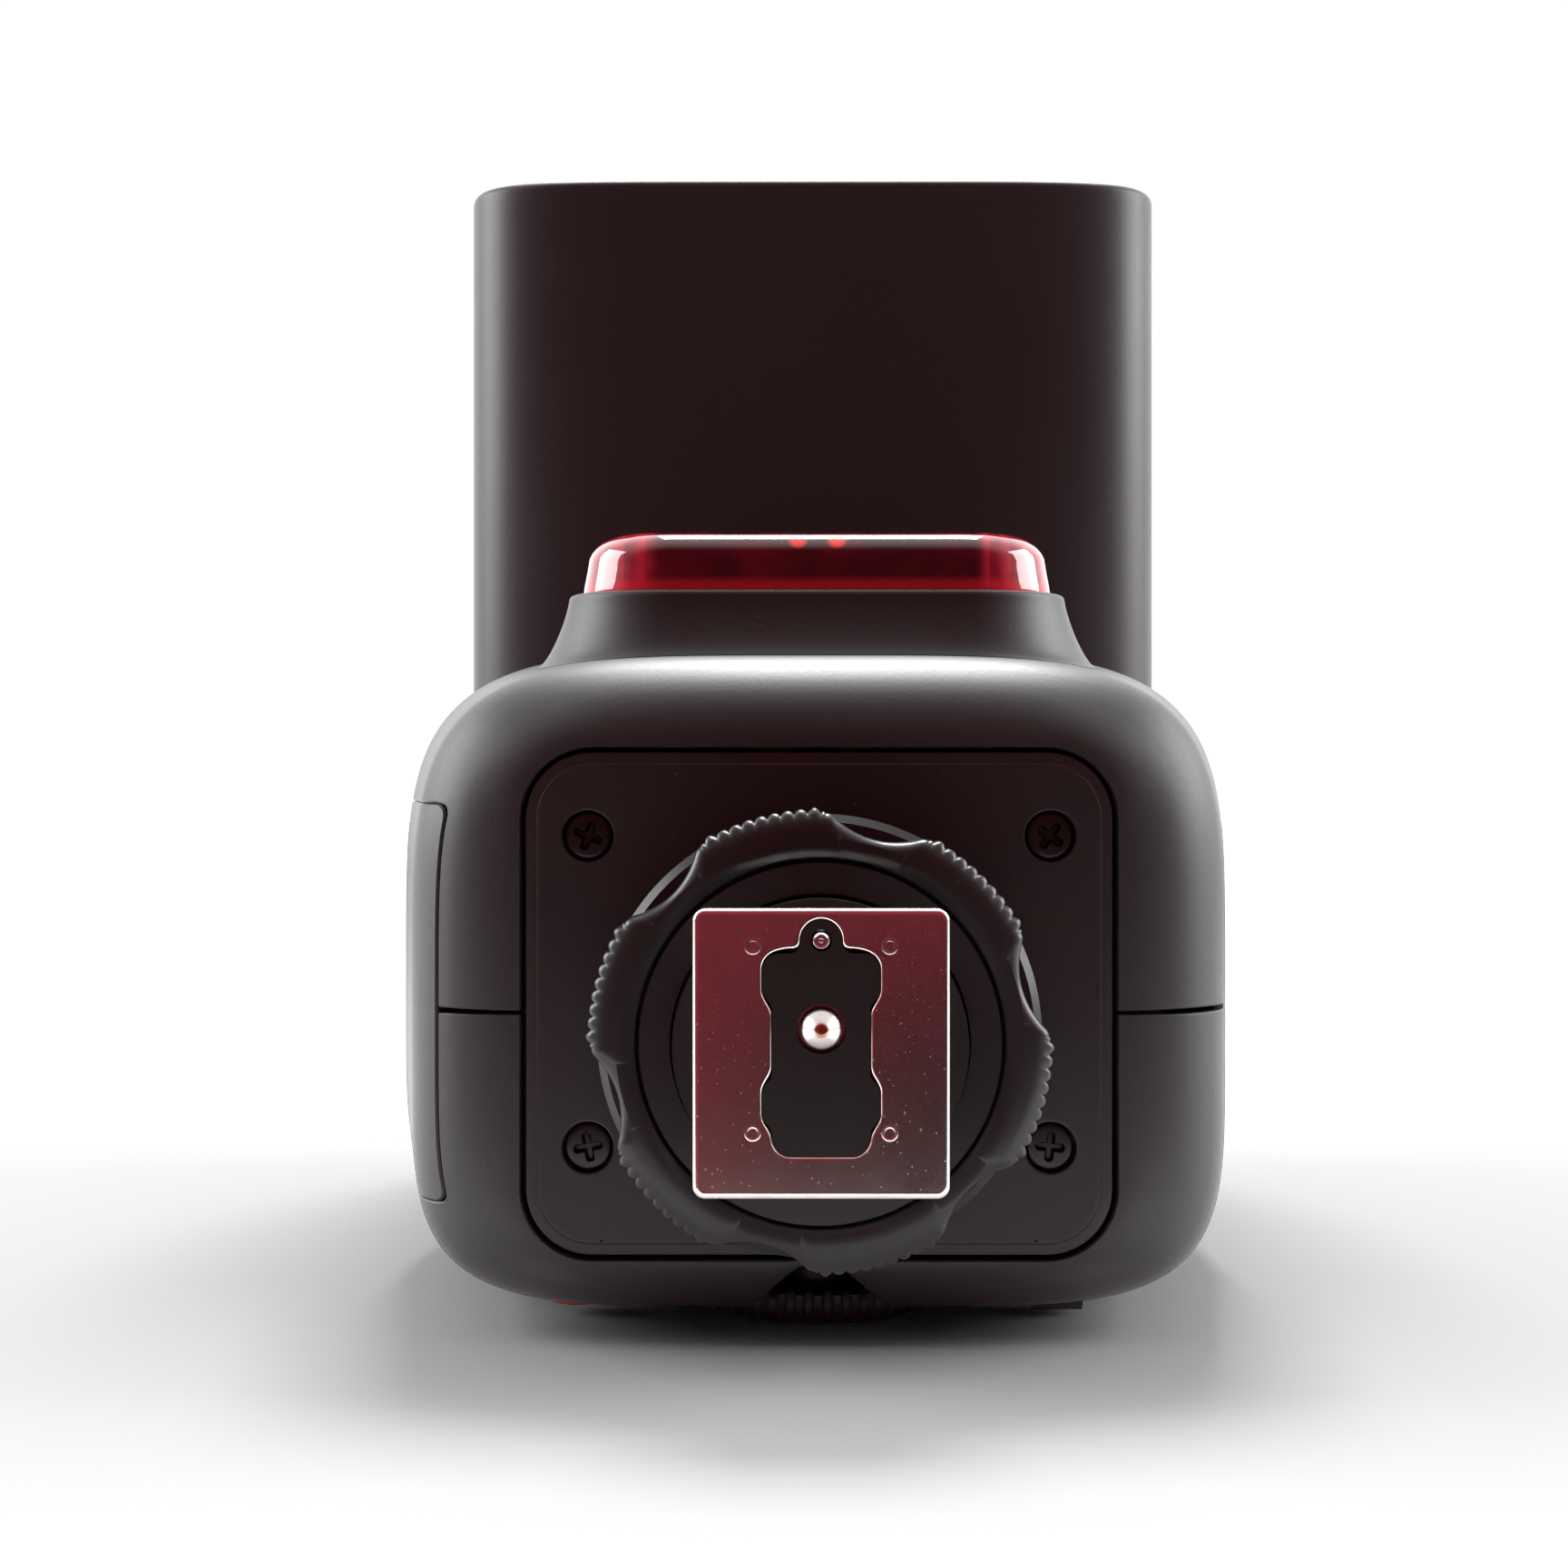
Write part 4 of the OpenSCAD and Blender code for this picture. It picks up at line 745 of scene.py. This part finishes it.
FLARE = 2.9
rim_row = upright(mound_outline, turn, MOUND_Y + 0.5)
base_row = upright(lambda x, z: mound_outline(x, z, FLARE), turn, 0)
base_row[:, 1] = face_y(base_row[:, 0], base_row[:, 2], True) - 0.03
ahead = upright(lambda x, z: mound_outline(x, z, FLARE + 0.5), turn, 0)
ahead[:, 1] = face_y(ahead[:, 0], ahead[:, 2], True) - 0.03
t1 = (ahead - base_row) / 0.5 * 3.4
away = base_row - rim_row
away[:, 1] = 0
t0 = away * 0.2 + np.array([0, 4.4, 0])
t = np.linspace(0, 1, 22)[:, None, None]
flare = ((2 * t ** 3 - 3 * t ** 2 + 1) * rim_row + (t ** 3 - 2 * t ** 2 + t) * t0
         + (3 * t ** 2 - 2 * t ** 3) * base_row + (t ** 3 - t ** 2) * t1)
lip = []
for inset_by, depth in ((1.2, 1.6), (1.15, 0.12), (0.98, 0.0), (0.45, 0.0), (0.22, 0.08), (0.06, 0.24)):
    lip.append(upright(lambda x, z, g=inset_by: mound_outline(x, z) + g, turn, MOUND_Y + depth))
mound_points, mound_quads = weld([np.concatenate([np.stack(lip), flare])])
front_skin = shape("front_shell_skin", np.concatenate([points, mound_points]),
                   np.concatenate([quads, mound_quads + len(points)]), body_plastic, 40.0)
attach(front_skin, "root")
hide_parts("front_shell")

# Rear shell
# The moulded rear half, which carries the display, the buttons and the dial. A funnel-shaped
# scoop under the dial lets the thumb reach its rim.
SCOOP_START, SCOOP_AIM = np.array([0, 27.5, 28.3]), np.array([0, -0.515, -0.857])
SCOOP_ACROSS = np.array([0, -0.857, 0.515])
rear_y = np.concatenate([[SPLIT_Y + GROOVE, -0.6], np.linspace(0.2, 13.4, 18), [DOOR_Y[1] + OPEN]])
port_y = np.concatenate([
    [SPLIT_Y + GROOVE, -0.6, 0.4, PORT_Y[0]], np.linspace(2.4, 13.6, 16), [PORT_Y[1]]])
points, quads = weld([shell(False, (rear_y, port_y))])
corner_y = DOOR_Y[1] + OPEN - CORNER
for z, up in ((door_z0, -1), (door_z1, 1)):
    points = round_corners(points, corner_y, z - up * CORNER, CORNER, 1, up, -1, False)
points, quads = rim(points, quads, wall_depth)
run = (points - SCOOP_START) @ SCOOP_AIM
across = (points - SCOOP_START) @ SCOOP_ACROSS
cone = 8.2 - (8.2 - 2.5) / 14 * np.clip(run, -2, 15.5)
gap = np.abs(points[:, 0]) - cone
wall = np.sqrt(np.maximum(cone ** 2 - points[:, 0] ** 2, 0)) - across
deep = np.where(gap < 0, wall, -gap - np.maximum(across, 0) * 0.5)
near = (points[:, 1] > 12) & (points[:, 2] < 34) & (np.abs(points[:, 0]) < 12)
push = np.where(near, 0.5 * (deep + np.sqrt(deep ** 2 + 0.35 ** 2)), 0)
push = np.where(push < 0.02, 0, push)
points = points + push[:, None] * SCOOP_ACROSS
rear_skin = shape("rear_shell_skin", points, quads, body_plastic, 40.0)
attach(rear_skin, "root")
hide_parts("rear_shell")

# Battery door
# A thin moulded door that closes flush with the side and swings up to let the cells out. The pin
# in the barrel on its top edge carries it.
ys = np.linspace(DOOR_Y[0], DOOR_Y[1], 64)
zs = np.linspace(DOOR_Z[0], DOOR_Z[1], 80)
yy, zz = np.meshgrid(ys, zs)
DOOR_CORNER, PIN_X = 1.0, -36.27
cy = np.clip(yy, DOOR_Y[0] + DOOR_CORNER, DOOR_Y[1] - DOOR_CORNER)
cz = np.clip(zz, DOOR_Z[0] + DOOR_CORNER, DOOR_Z[1] + 2 * DOOR_CORNER)
u, v = (yy - cy) / DOOR_CORNER, (zz - cz) / DOOR_CORNER
yy, zz = cy + DOOR_CORNER * u * np.sqrt(1 - v ** 2 / 2), cz + DOOR_CORNER * v * np.sqrt(1 - u ** 2 / 2)
xx = -np.where(yy < SPLIT_Y, side_x(yy, zz, True), side_x(yy, zz, False))
barrel = []
for a in np.linspace(0.2, math.pi * 0.9, 10):
    turned = np.stack([PIN_X + (xx[-1] - PIN_X) * math.cos(a), yy[-1],
                       DOOR_Z[1] - (xx[-1] - PIN_X) * math.sin(a) * 0.96], -1)
    barrel.append(turned)
points, quads = weld([np.concatenate([np.stack([xx, yy, zz], -1), np.stack(barrel)])])
points, quads = rim(points, quads, lambda p: np.full(len(p), 1.5), 0.16, (0, -2, 45))
door = shape("battery_door_skin", points, quads, plastic(
    "door_charcoal", (0.0175, 0.0175, 0.0188, 1), 0.44, 3.4, 0.3, 0.25), 40.0)
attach(door, "door")
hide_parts("battery_door")

# Front panel
# A deep red clear moulding with a crowned front, set into the mound's rim. Its colour holds painted
# light: its rounded ends and a thin line along its base are painted brighter red, and two painted
# glowing spots stand where the assist lights sit behind it.
WALL_Y, EDGE_Y, EDGE_IN = -38.4, 2.6, 3.6


def panel_outline(x, z, grow=0.0):
    """Distance to the panel's outline, grown by grow."""
    return rounded_box(x, z - PANEL_ZC, PANEL_W / 2 + grow, PANEL_H / 2 + grow, 8 + grow)


WALL_ROWS = [(-0.25, 1.2), (-0.12, 0.4), (-0.02, 0.05), (-0.12, -0.8), (-0.35, -2.0)]
rows = [upright(lambda x, z, g=g: panel_outline(x, z, g), turn, MOUND_Y + y) for g, y in WALL_ROWS]
for a in np.linspace(0, math.pi / 2, 9):
    g, y = -0.45 - EDGE_IN * (1 - math.cos(a)), WALL_Y - EDGE_Y * math.sin(a)
    rows.append(upright(lambda x, z, g=g: panel_outline(x, z, g), turn, y))
edge = rows[-1]
middle = np.array([0, 0, PANEL_ZC])
for k in np.linspace(0.94, 0.0, 14):
    row = middle + (edge - middle) * k
    row[:, 1] = WALL_Y - EDGE_Y - (1 - k ** 2) * 0.9
    rows.append(row)
made, place = material_start("red_clear")
px, py, pz = place.axes()
# Painted light: the panel's rounded ends are painted brighter red, broken into stripes.
painted_lit_ends = px.size().step(13.2, 14.6) - px.size().step(19.6, 20.4) * 0.6
painted_end_stripes = (px * 0.55).maths("FRACT").step(0.35, 0.8) * 0.5 + place.noise(0.4).step(0.4, 0.7) * 0.5
# Painted highlight: a thin bright red line along the panel's base, where it meets the mound.
low = (py + 35.8).size().step(1.4, 0.1)
# Painted glow: two small spots on the panel's surface emit red light where the assist lights sit.
near = (py + 40.0) * (py + 40.0) + (pz - 34.3) * (pz - 34.3)
painted_glow_right = ((px - 1.65) * (px - 1.65) + near).step(0.9, 0.05)
painted_glow_left = ((px + 1.65) * (px + 1.65) + near).step(0.9, 0.05)
cloud = place.noise(0.22, 3.0, 0.6).step(0.35, 0.75)
deep = cloud.between((0.030, 0.0008, 0.002, 1), (0.10, 0.002, 0.006, 1))
# The deep red with the painted light of the ends, then of the base line, mixed over it.
red_with_painted_light = (painted_lit_ends * (0.35 + painted_end_stripes * 0.65)).between(deep, (0.50, 0.020, 0.045, 1))
red_with_painted_light = (low * 0.8).between(red_with_painted_light, (0.85, 0.03, 0.05, 1))
# The emission colour of the two painted glowing spots.
glow = (painted_glow_right.most(painted_glow_left)).between((0, 0, 0, 1), (1.0, 0.03, 0.02, 1))
surface(place, {"Base Color": red_with_painted_light, "Roughness": 0.06 + place.noise(2.5).step(0.6, 0.8) * 0.05,
                "IOR": 1.5, "Coat Weight": 0.6, "Emission Color": glow, "Emission Strength": 0.8})
panel_red = made
panel = shape("red_panel_lens", *weld([np.stack(rows)]), panel_red, 50.0)
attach(panel, "root")
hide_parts("front_panel")

# Control dial
# A moulded wheel with a ribbed rim, which stands a little out of the back and turns round the set
# button on its own collar.
DIAL_Z, RIBS, RIB_OUT = 35.5, 36, 0.43
a = np.linspace(0, TURN, RIBS * 16 + 1)
rib = np.clip(0.5 + 1.1 * np.cos(a * RIBS), 0, 1)
DIAL = [(3.3, -4.1, 0), (4.3, -4.1, 0), (4.3, -0.9, 0), (8.6, -0.9, 0), (8.75, -0.7, 1),
        (8.75, 1.1, 1), (8.6, 1.45, 0.8), (8.2, 1.65, 0.4), (7.6, 1.7, 0), (6.4, 1.7, 0),
        (6.0, 1.55, 0), (5.4, 1.4, 0), (3.5, 1.4, 0), (3.3, 1.3, 0), (3.3, -4.1, 0)]
rows = []
for radius, out, share in DIAL:
    r = radius + RIB_OUT * share * rib
    rows.append(np.stack([r * np.cos(a), np.full_like(a, BACK_Y + out), DIAL_Z + r * np.sin(a)], -1))
dial = shape("ribbed_dial", *weld([np.stack(rows)]), plastic(
    "dial_black", (0.016, 0.016, 0.017, 1), 0.4, 4.0, 0.2, 0.3), 45.0)
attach(dial, "dial")
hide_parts("control_dial")

# Head lower shell
# The moulded underside of the head: a broad flat curve with tight rounded sides, forked round the
# neck. Screws hold it to the upper shell, and both turn on the tilt axle.
HEAD_W, HEAD_T, HEAD_Z, HEAD_FRONT, TILT_Y = 73.0, 50.0, 111.0, -82.0, -3.0
HEAD_POWER, EAR_X, NOTCH_Y, HEAD_ROUND = 6.0, 19.6, -28.6, 0.9
BEZEL_W, BEZEL_H, BEZEL_Z = 64.0, 37.0, 108.0
head_plastic = plastic("head_charcoal", (0.0135, 0.0112, 0.0118, 1), 0.44, 3.0, 0.22, 0.2)


def bezel_outline(x, z):
    """Distance to the opening round the lens, with z from the head's middle."""
    return rounded_box(x, z - (BEZEL_Z - HEAD_Z), BEZEL_W / 2, BEZEL_H / 2, 4.0)


def head_shell(up):
    """Skin of the upper (1) or lower (-1) shell, with its front frame and the notch for the neck."""
    n = HEAD_POWER
    share = EAR_X / (HEAD_W / 2)
    start = math.atan2((1 - share ** n) ** (1 / n), share)
    side = start * np.linspace(1, 0, 45)[1:]
    c, s = np.cos(side), np.sin(side)
    rho = (c ** n + s ** n) ** (1 / n)
    flat = np.linspace(-EAR_X, EAR_X, 41) / (HEAD_W / 2)
    u = np.concatenate([-(c / rho)[::-1], flat, c / rho])
    v = np.concatenate([(s / rho)[::-1], (1 - np.abs(flat) ** n) ** (1 / n), s / rho])
    rows = []
    frame_angle = np.arctan2(up * np.maximum(v, 1e-6) * HEAD_T / 2, u * HEAD_W / 2)
    inner = reach(bezel_outline, frame_angle)
    ring = np.stack([inner * np.cos(frame_angle), inner * np.sin(frame_angle)], -1)
    outer = np.stack([u * (HEAD_W / 2 - HEAD_ROUND), up * v * (HEAD_T / 2 - HEAD_ROUND)], -1)
    for k, y in ((0, -78.6), (0, -81.6), (0.06, -81.95), (0.12, HEAD_FRONT), (0.9, HEAD_FRONT)):
        flat_row = ring * (1 - k) + outer * k
        rows.append(np.stack([flat_row[:, 0], np.full(len(u), y), HEAD_Z + flat_row[:, 1]], -1))
    for a in np.linspace(0, math.pi / 2, 7):
        cut, y = HEAD_ROUND * (1 - math.sin(a)), HEAD_FRONT + HEAD_ROUND * (1 - math.cos(a))
        z = HEAD_Z + up * v * (HEAD_T / 2 - cut)
        rows.append(np.stack([u * (HEAD_W / 2 - cut), np.full(len(u), y), z], -1))
    for y in np.concatenate([np.linspace(-80, NOTCH_Y, 20), np.linspace(NOTCH_Y, TILT_Y, 9)[1:]]):
        rows.append(np.stack([u * HEAD_W / 2, np.full(len(u), y), HEAD_Z + up * v * HEAD_T / 2], -1))
    for a in np.linspace(0, math.pi / 2, 25)[1:]:
        y, high = TILT_Y + HEAD_T / 2 * math.sin(a), HEAD_T / 2 * max(math.cos(a), 0.004)
        rows.append(np.stack([u * HEAD_W / 2, np.full(len(u), y), HEAD_Z + up * v * high], -1))
    grid = np.stack(rows)
    flat_cells = (np.abs(grid[:, :, 0]) < EAR_X + 0.01)
    notch = (grid[:-1, :-1, 1] >= NOTCH_Y - 0.01) & flat_cells[:-1, :-1] & flat_cells[:-1, 1:]
    return grid, ~notch


def head_rim(points, quads, up):
    """Carries the notch's edges to the parting plane, and turns the parting edge in to a groove."""
    edges = np.concatenate([quads[:, [k, (k + 1) % 4]] for k in range(4)])
    edges = edges[edges[:, 0] != edges[:, 1]]
    _, back, count = np.unique(np.sort(edges, 1), axis=0, return_inverse=True, return_counts=True)
    border = edges[count[back.ravel()] == 1]
    border = border[(points[border][:, :, 1] > HEAD_FRONT + 1.2).all(1)]
    used = np.unique(border)
    place = np.full(len(points), -1)
    place[used] = len(points) + np.arange(len(used))
    p = points[used]
    side = np.abs(p[:, 2] - HEAD_Z) < 0.2
    deep = p * 1.0
    deep[:, 2] = np.where(side, HEAD_Z + up * 0.16, HEAD_Z)
    outer = side & (np.abs(p[:, 0]) > EAR_X + 0.1)
    deep[:, 0] = np.where(outer, p[:, 0] - np.sign(p[:, 0]) * 0.6, p[:, 0])
    strip = np.stack([border[:, 1], border[:, 0], place[border[:, 0]], place[border[:, 1]]], -1)
    return np.concatenate([points, deep]), np.concatenate([quads, strip])


def head_piece(name, up):
    """One head shell as a finished mesh, with half of the parting groove on its edge."""
    grid, keep = head_shell(up)
    side = np.abs(grid[:, :, 2] - HEAD_Z) < 1e-6
    grid[:, :, 2] = np.where(side, HEAD_Z + up * 0.16, grid[:, :, 2])
    return shape(name, *head_rim(*weld([(grid, keep)]), up), head_plastic, 40.0)


lower = head_piece("head_lower_skin", -1)
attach(lower, "head")
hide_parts("head_lower_shell")

# Head upper shell
# The moulded top of the head, shaped like the underside and screwed to it. The wide panel's slot
# lies over the lens.
upper = head_piece("head_upper_skin", 1)
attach(upper, "head")
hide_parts("head_upper_shell")

# Other parts
# Everything whose CAD shape is already right keeps it, and each of its materials gets its own
# finish here by the name of its slot.


def board(name, colour):
    """Solder mask with faint tracks and small pale pads."""
    made, place = material_start(name)
    x, y, z = place.axes()
    track = ((x + y) * 0.9).maths("FRACT").step(0.42, 0.5) * (z * 0.7).maths("FRACT").step(0.3, 0.36)
    pads = place.node("TexVoronoi", {}, {"Vector": place, "Scale": 0.5}).step(0.22, 0.18)
    light = tuple(min(1, 1.9 * v) for v in colour[:3]) + (1,)
    tone = (track * 0.5).between(colour, light)
    tone = (pads * 0.8).between(tone, (0.55, 0.54, 0.50, 1))
    surface(place, {"Base Color": tone, "Roughness": 0.35 + track * 0.1}, track + pads, 0.3, 0.03)
    return made


def film(name, colour, roughness, lines=0.0):
    """Thin sleeve or tape: slow cloudy colour, fine wrinkles, and windings where lines is set."""
    made, place = material_start(name)
    x, y, z = place.axes()
    cloud = place.noise(0.3, 3.0, 0.6)
    wrinkle = place.node("CombineXYZ", {}, {0: x * 0.3, 1: y * 2.0, 2: z * 2.0}).noise(0.7, 2.0)
    wound = (z * 2.2).maths("SINE") * lines
    dark = tuple(0.7 * v for v in colour[:3]) + (1,)
    surface(place, {"Base Color": cloud.step(0.3, 0.7).between(dark, colour),
                    "Roughness": roughness + cloud * 0.1}, wrinkle + wound, 0.25, 0.05)
    return made


def clear(name, colour, alpha, rings):
    """Clear moulding; rings is the pitch of its round grooves in millimetres, or 0 for none. Where it
    has grooves, each one is painted darker across its width as painted shade.
    """
    made, place = material_start(name)
    x, y, z = place.axes()
    cloud = place.noise(0.2, 2.0)
    height = cloud
    if rings:
        across = z - BEZEL_Z
        radius = (x * x * 0.35 + across * across).maths("SQRT")
        height = (radius / rings).maths("FRACT")
    # Painted shade: with rings, each groove is painted darker towards its outer side; the cloud adds
    # random tone.
    tone = (height * 0.6 + cloud * 0.2).between(colour, tuple(0.72 * v for v in colour[:3]) + (1,))
    surface(place, {"Base Color": tone, "Roughness": 0.08 + cloud * 0.05, "Alpha": alpha},
            height, 0.5, 0.2)
    return made


def display(name, colour):
    """Liquid crystal display behind its window: a faint grid of dots and a darker border."""
    made, place = material_start(name)
    x, y, z = place.axes()
    dots = (x * 2.4).maths("FRACT").step(0.1, 0.25) * (z * 2.4).maths("FRACT").step(0.1, 0.25)
    inside = x.size().step(17.6, 17.2) * (z - 65.5).size().step(9.2, 8.8)
    dark = tuple(0.35 * v for v in colour[:3]) + (1,)
    tone = (inside * (0.75 + dots * 0.25)).between(dark, colour)
    surface(place, {"Base Color": tone, "Roughness": 0.25 + place.noise(0.6) * 0.08}, dots, 0.05, 0.02)
    return made


FINISH = {
    "insert_black": plastic("insert_satin", (0.008, 0.008, 0.008, 1), 0.38, 4.0, 0.15, 0.3),
    "ring_black": ring_plastic,
    "body_black": plastic("turret_charcoal", (0.0135, 0.0125, 0.013, 1), 0.45, 3.2, 0.25, 0.2),
    "screw_black": black_zinc,
    "polished_steel": foot_metal,
    "steel": polished("turned_steel", (0.55, 0.54, 0.53, 1), 0.28),
    "contact_gold": polished("gold_plating", (0.83, 0.62, 0.30, 1), 0.22),
    "inner_plastic": plastic("inner_grey", (0.05, 0.05, 0.054, 1), 0.5, 1.6, 0.2, 0.1),
    "cell_jacket": film("cell_sleeve", (0.16, 0.20, 0.23, 1), 0.3),
    "capacitor_sleeve": film("capacitor_sleeve_film", (0.04, 0.05, 0.10, 1), 0.25),
    "circuit_board": board("solder_mask", (0.02, 0.12, 0.05, 1)),
    "winding_tape": film("winding_tape_film", (0.55, 0.36, 0.10, 1), 0.4, 1.0),
    "red_panel": panel_red,
    "red_led": plastic("led_red", (0.6, 0.02, 0.02, 1), 0.2, 2.0, 0.05, 0.0),
    "display_glass": clear("window_clear", (0.10, 0.11, 0.11, 1), 0.35, 0),
    "display_grey": display("display_pixels", (0.30, 0.34, 0.27, 1)),
    "button_black": plastic("button_satin", (0.022, 0.022, 0.023, 1), 0.42, 4.0, 0.2, 0.2),
    "button_red": plastic("button_red_satin", (0.35, 0.015, 0.015, 1), 0.4, 4.0, 0.2, 0.1),
    "rubber_black": plastic("port_rubber", (0.014, 0.014, 0.014, 1), 0.62, 2.6, 0.35, 0.5),
    "lens_clear": clear("lens_grooved", (0.78, 0.80, 0.82, 1), 0.72, 0.9),
    "card_white": film("card_white_film", (0.80, 0.80, 0.79, 1), 0.45),
    "reflector_bright": polished("bright_aluminium", (0.90, 0.90, 0.91, 1), 0.12),
    "tube_glass": clear("tube_clear", (0.85, 0.88, 0.90, 1), 0.6, 0),
}
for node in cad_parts.values():
    for k, material in enumerate(node.data.materials):
        slot = material.name.split(".")[0]
        if slot in FINISH:
            node.data.materials[k] = FINISH[slot]

bpy.context.view_layer.update()
